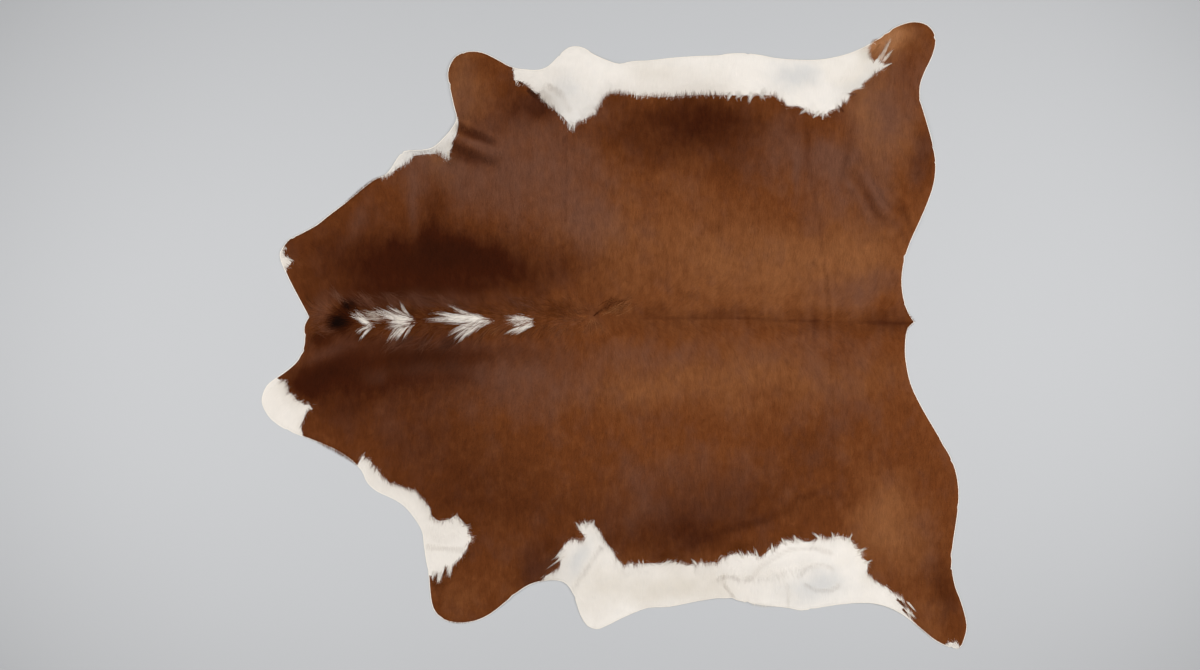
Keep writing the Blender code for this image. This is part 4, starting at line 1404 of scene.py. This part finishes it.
class HIDE_OT_coat(bpy.types.Operator):
    """Lay the short coat in four quarters."""

    bl_idname = "hide.coat"
    bl_label = "Laid coat"

    def execute(self, context):
        coat = context.scene.hide_coat
        rng = np.random.default_rng(coat.seed)
        roots = scattered_roots(coat.spacing, rng)
        hairs = coat_hairs(roots, rng, coat.length, coat.width, coat.rise)
        x, y = hairs["root"][:, 0], hairs["root"][:, 1]
        right = y > COAT_PARTING
        middle = {True: np.median(x[right]), False: np.median(x[~right])}
        for side, name in ((True, "right"), (False, "left")):
            for hind, end in ((False, "fore"), (True, "hind")):
                keep = (right == side) & ((x > middle[side]) == hind)
                lay_hairs(f"coat_{end}_{name}", 1, select(hairs, keep), coat_material())
        return {"FINISHED"}


class HIDE_OT_borders(bpy.types.Operator):
    """Add finer hair where white and brown meet."""

    bl_idname = "hide.borders"
    bl_label = "Hair at the borders"

    def execute(self, context):
        coat = context.scene.hide_coat
        rng = np.random.default_rng(coat.seed + 1)
        roots = border_roots(rng)
        hairs = coat_hairs(roots, rng, 0.9 * coat.length, 0.6 * coat.width, 1.5 * coat.rise)
        lay_hairs("border_hair", 1, hairs, coat_material())
        return {"FINISHED"}


class HIDE_OT_mane(bpy.types.Operator):
    """Lay the longer hair of the mane and the locks on it."""

    bl_idname = "hide.mane"
    bl_label = "Mane and tufts"

    def execute(self, context):
        coat = context.scene.hide_coat
        rng = np.random.default_rng(coat.seed + 2)
        lay_hairs("mane", 3, mane_hairs(rng, coat.mane_hairs), coat_material())
        lay_hairs("tufts", 4, lock_hairs(rng), coat_material())
        return {"FINISHED"}


class HIDE_OT_stage(bpy.types.Operator):
    """Set the pale floor, the soft lights and the camera overhead."""

    bl_idname = "hide.stage"
    bl_label = "Floor, lights and camera"

    def execute(self, context):
        scene, stage = context.scene, context.scene.hide_stage
        self.floor()
        for light in LIGHTS:
            self.soft_light(light, getattr(stage, light.power))
        self.sky(scene, stage)
        self.camera(scene, stage)
        scene.view_settings.view_transform = "Standard"
        return {"FINISHED"}

    def floor(self):
        bm = bmesh.new()
        bmesh.ops.create_grid(bm, x_segments=4, y_segments=4, size=FLOOR_REACH)
        bmesh.ops.translate(bm, verts=bm.verts[:], vec=(0.0, 0.0, -FLOOR_DROP))
        mesh = bpy.data.meshes.new("floor")
        bm.to_mesh(mesh)
        bm.free()
        mesh.materials.append(floor_material())
        floor = bpy.data.objects.new("floor", mesh)
        bpy.context.scene.collection.objects.link(floor)

    def soft_light(self, light, power):
        data = bpy.data.lights.new(light.name, "AREA")
        data.shape = "SQUARE"
        data.size = light.size
        data.energy = power
        lamp = bpy.data.objects.new(light.name, data)
        lamp.location = light.place
        aim = Vector(light.target) - Vector(light.place)
        lamp.rotation_euler = aim.to_track_quat("-Z", "Y").to_euler()
        bpy.context.scene.collection.objects.link(lamp)

    def sky(self, scene, stage):
        world = bpy.data.worlds.new("soft_sky")
        world.use_nodes = True
        background = world.node_tree.nodes["Background"]
        background.inputs["Color"].default_value = SKY_COLOUR
        background.inputs["Strength"].default_value = stage.sky
        scene.world = world

    def camera(self, scene, stage):
        data = bpy.data.cameras.new("overhead")
        data.lens = stage.lens
        data.sensor_width = 36.0
        camera = bpy.data.objects.new("overhead", data)
        camera.location = (VIEW_X, 0.0, stage.view_width * stage.lens / data.sensor_width)
        scene.collection.objects.link(camera)
        scene.camera = camera


class HIDE_OT_declare(bpy.types.Operator):
    """An empty step: it does nothing."""

    bl_idname = "hide.declare"
    bl_label = "Declare the sheet"

    def execute(self, context):
        return {"FINISHED"}


class HIDE_PT_panel(bpy.types.Panel):
    """Buttons and settings of the cowhide."""

    bl_label = "Cowhide"
    bl_idname = "HIDE_PT_panel"
    bl_space_type = "VIEW_3D"
    bl_region_type = "UI"
    bl_category = "Cowhide"

    def draw(self, context):
        for operator in STEPS:
            self.layout.operator(operator.bl_idname)
        for name in SETTINGS:
            group = getattr(context.scene, name)
            box = self.layout.box()
            box.label(text=group.bl_rna.name)
            for field in group.bl_rna.properties.keys():
                if field not in ("rna_type", "name"):
                    box.prop(group, field)


STEPS = (HIDE_OT_sheet, HIDE_OT_coat, HIDE_OT_borders, HIDE_OT_mane, HIDE_OT_declare,
         HIDE_OT_stage)
SETTINGS = {
    "hide_sizes": HideSettings,
    "hide_coat": CoatSettings,
    "hide_colours": ColourSettings,
    "hide_stage": StageSettings,
}


def register():
    for group in (*SETTINGS.values(), *STEPS, HIDE_PT_panel):
        bpy.utils.register_class(group)
    for name, group in SETTINGS.items():
        setattr(bpy.types.Scene, name, PointerProperty(type=group))


def unregister():
    for name in SETTINGS:
        delattr(bpy.types.Scene, name)
    for group in (HIDE_PT_panel, *reversed(STEPS), *SETTINGS.values()):
        bpy.utils.unregister_class(group)


def main():
    """Make the whole hide."""
    register()
    for operator in STEPS:
        getattr(bpy.ops.hide, operator.bl_idname.split(".")[1])()


if __name__ == "__main__":
    main()
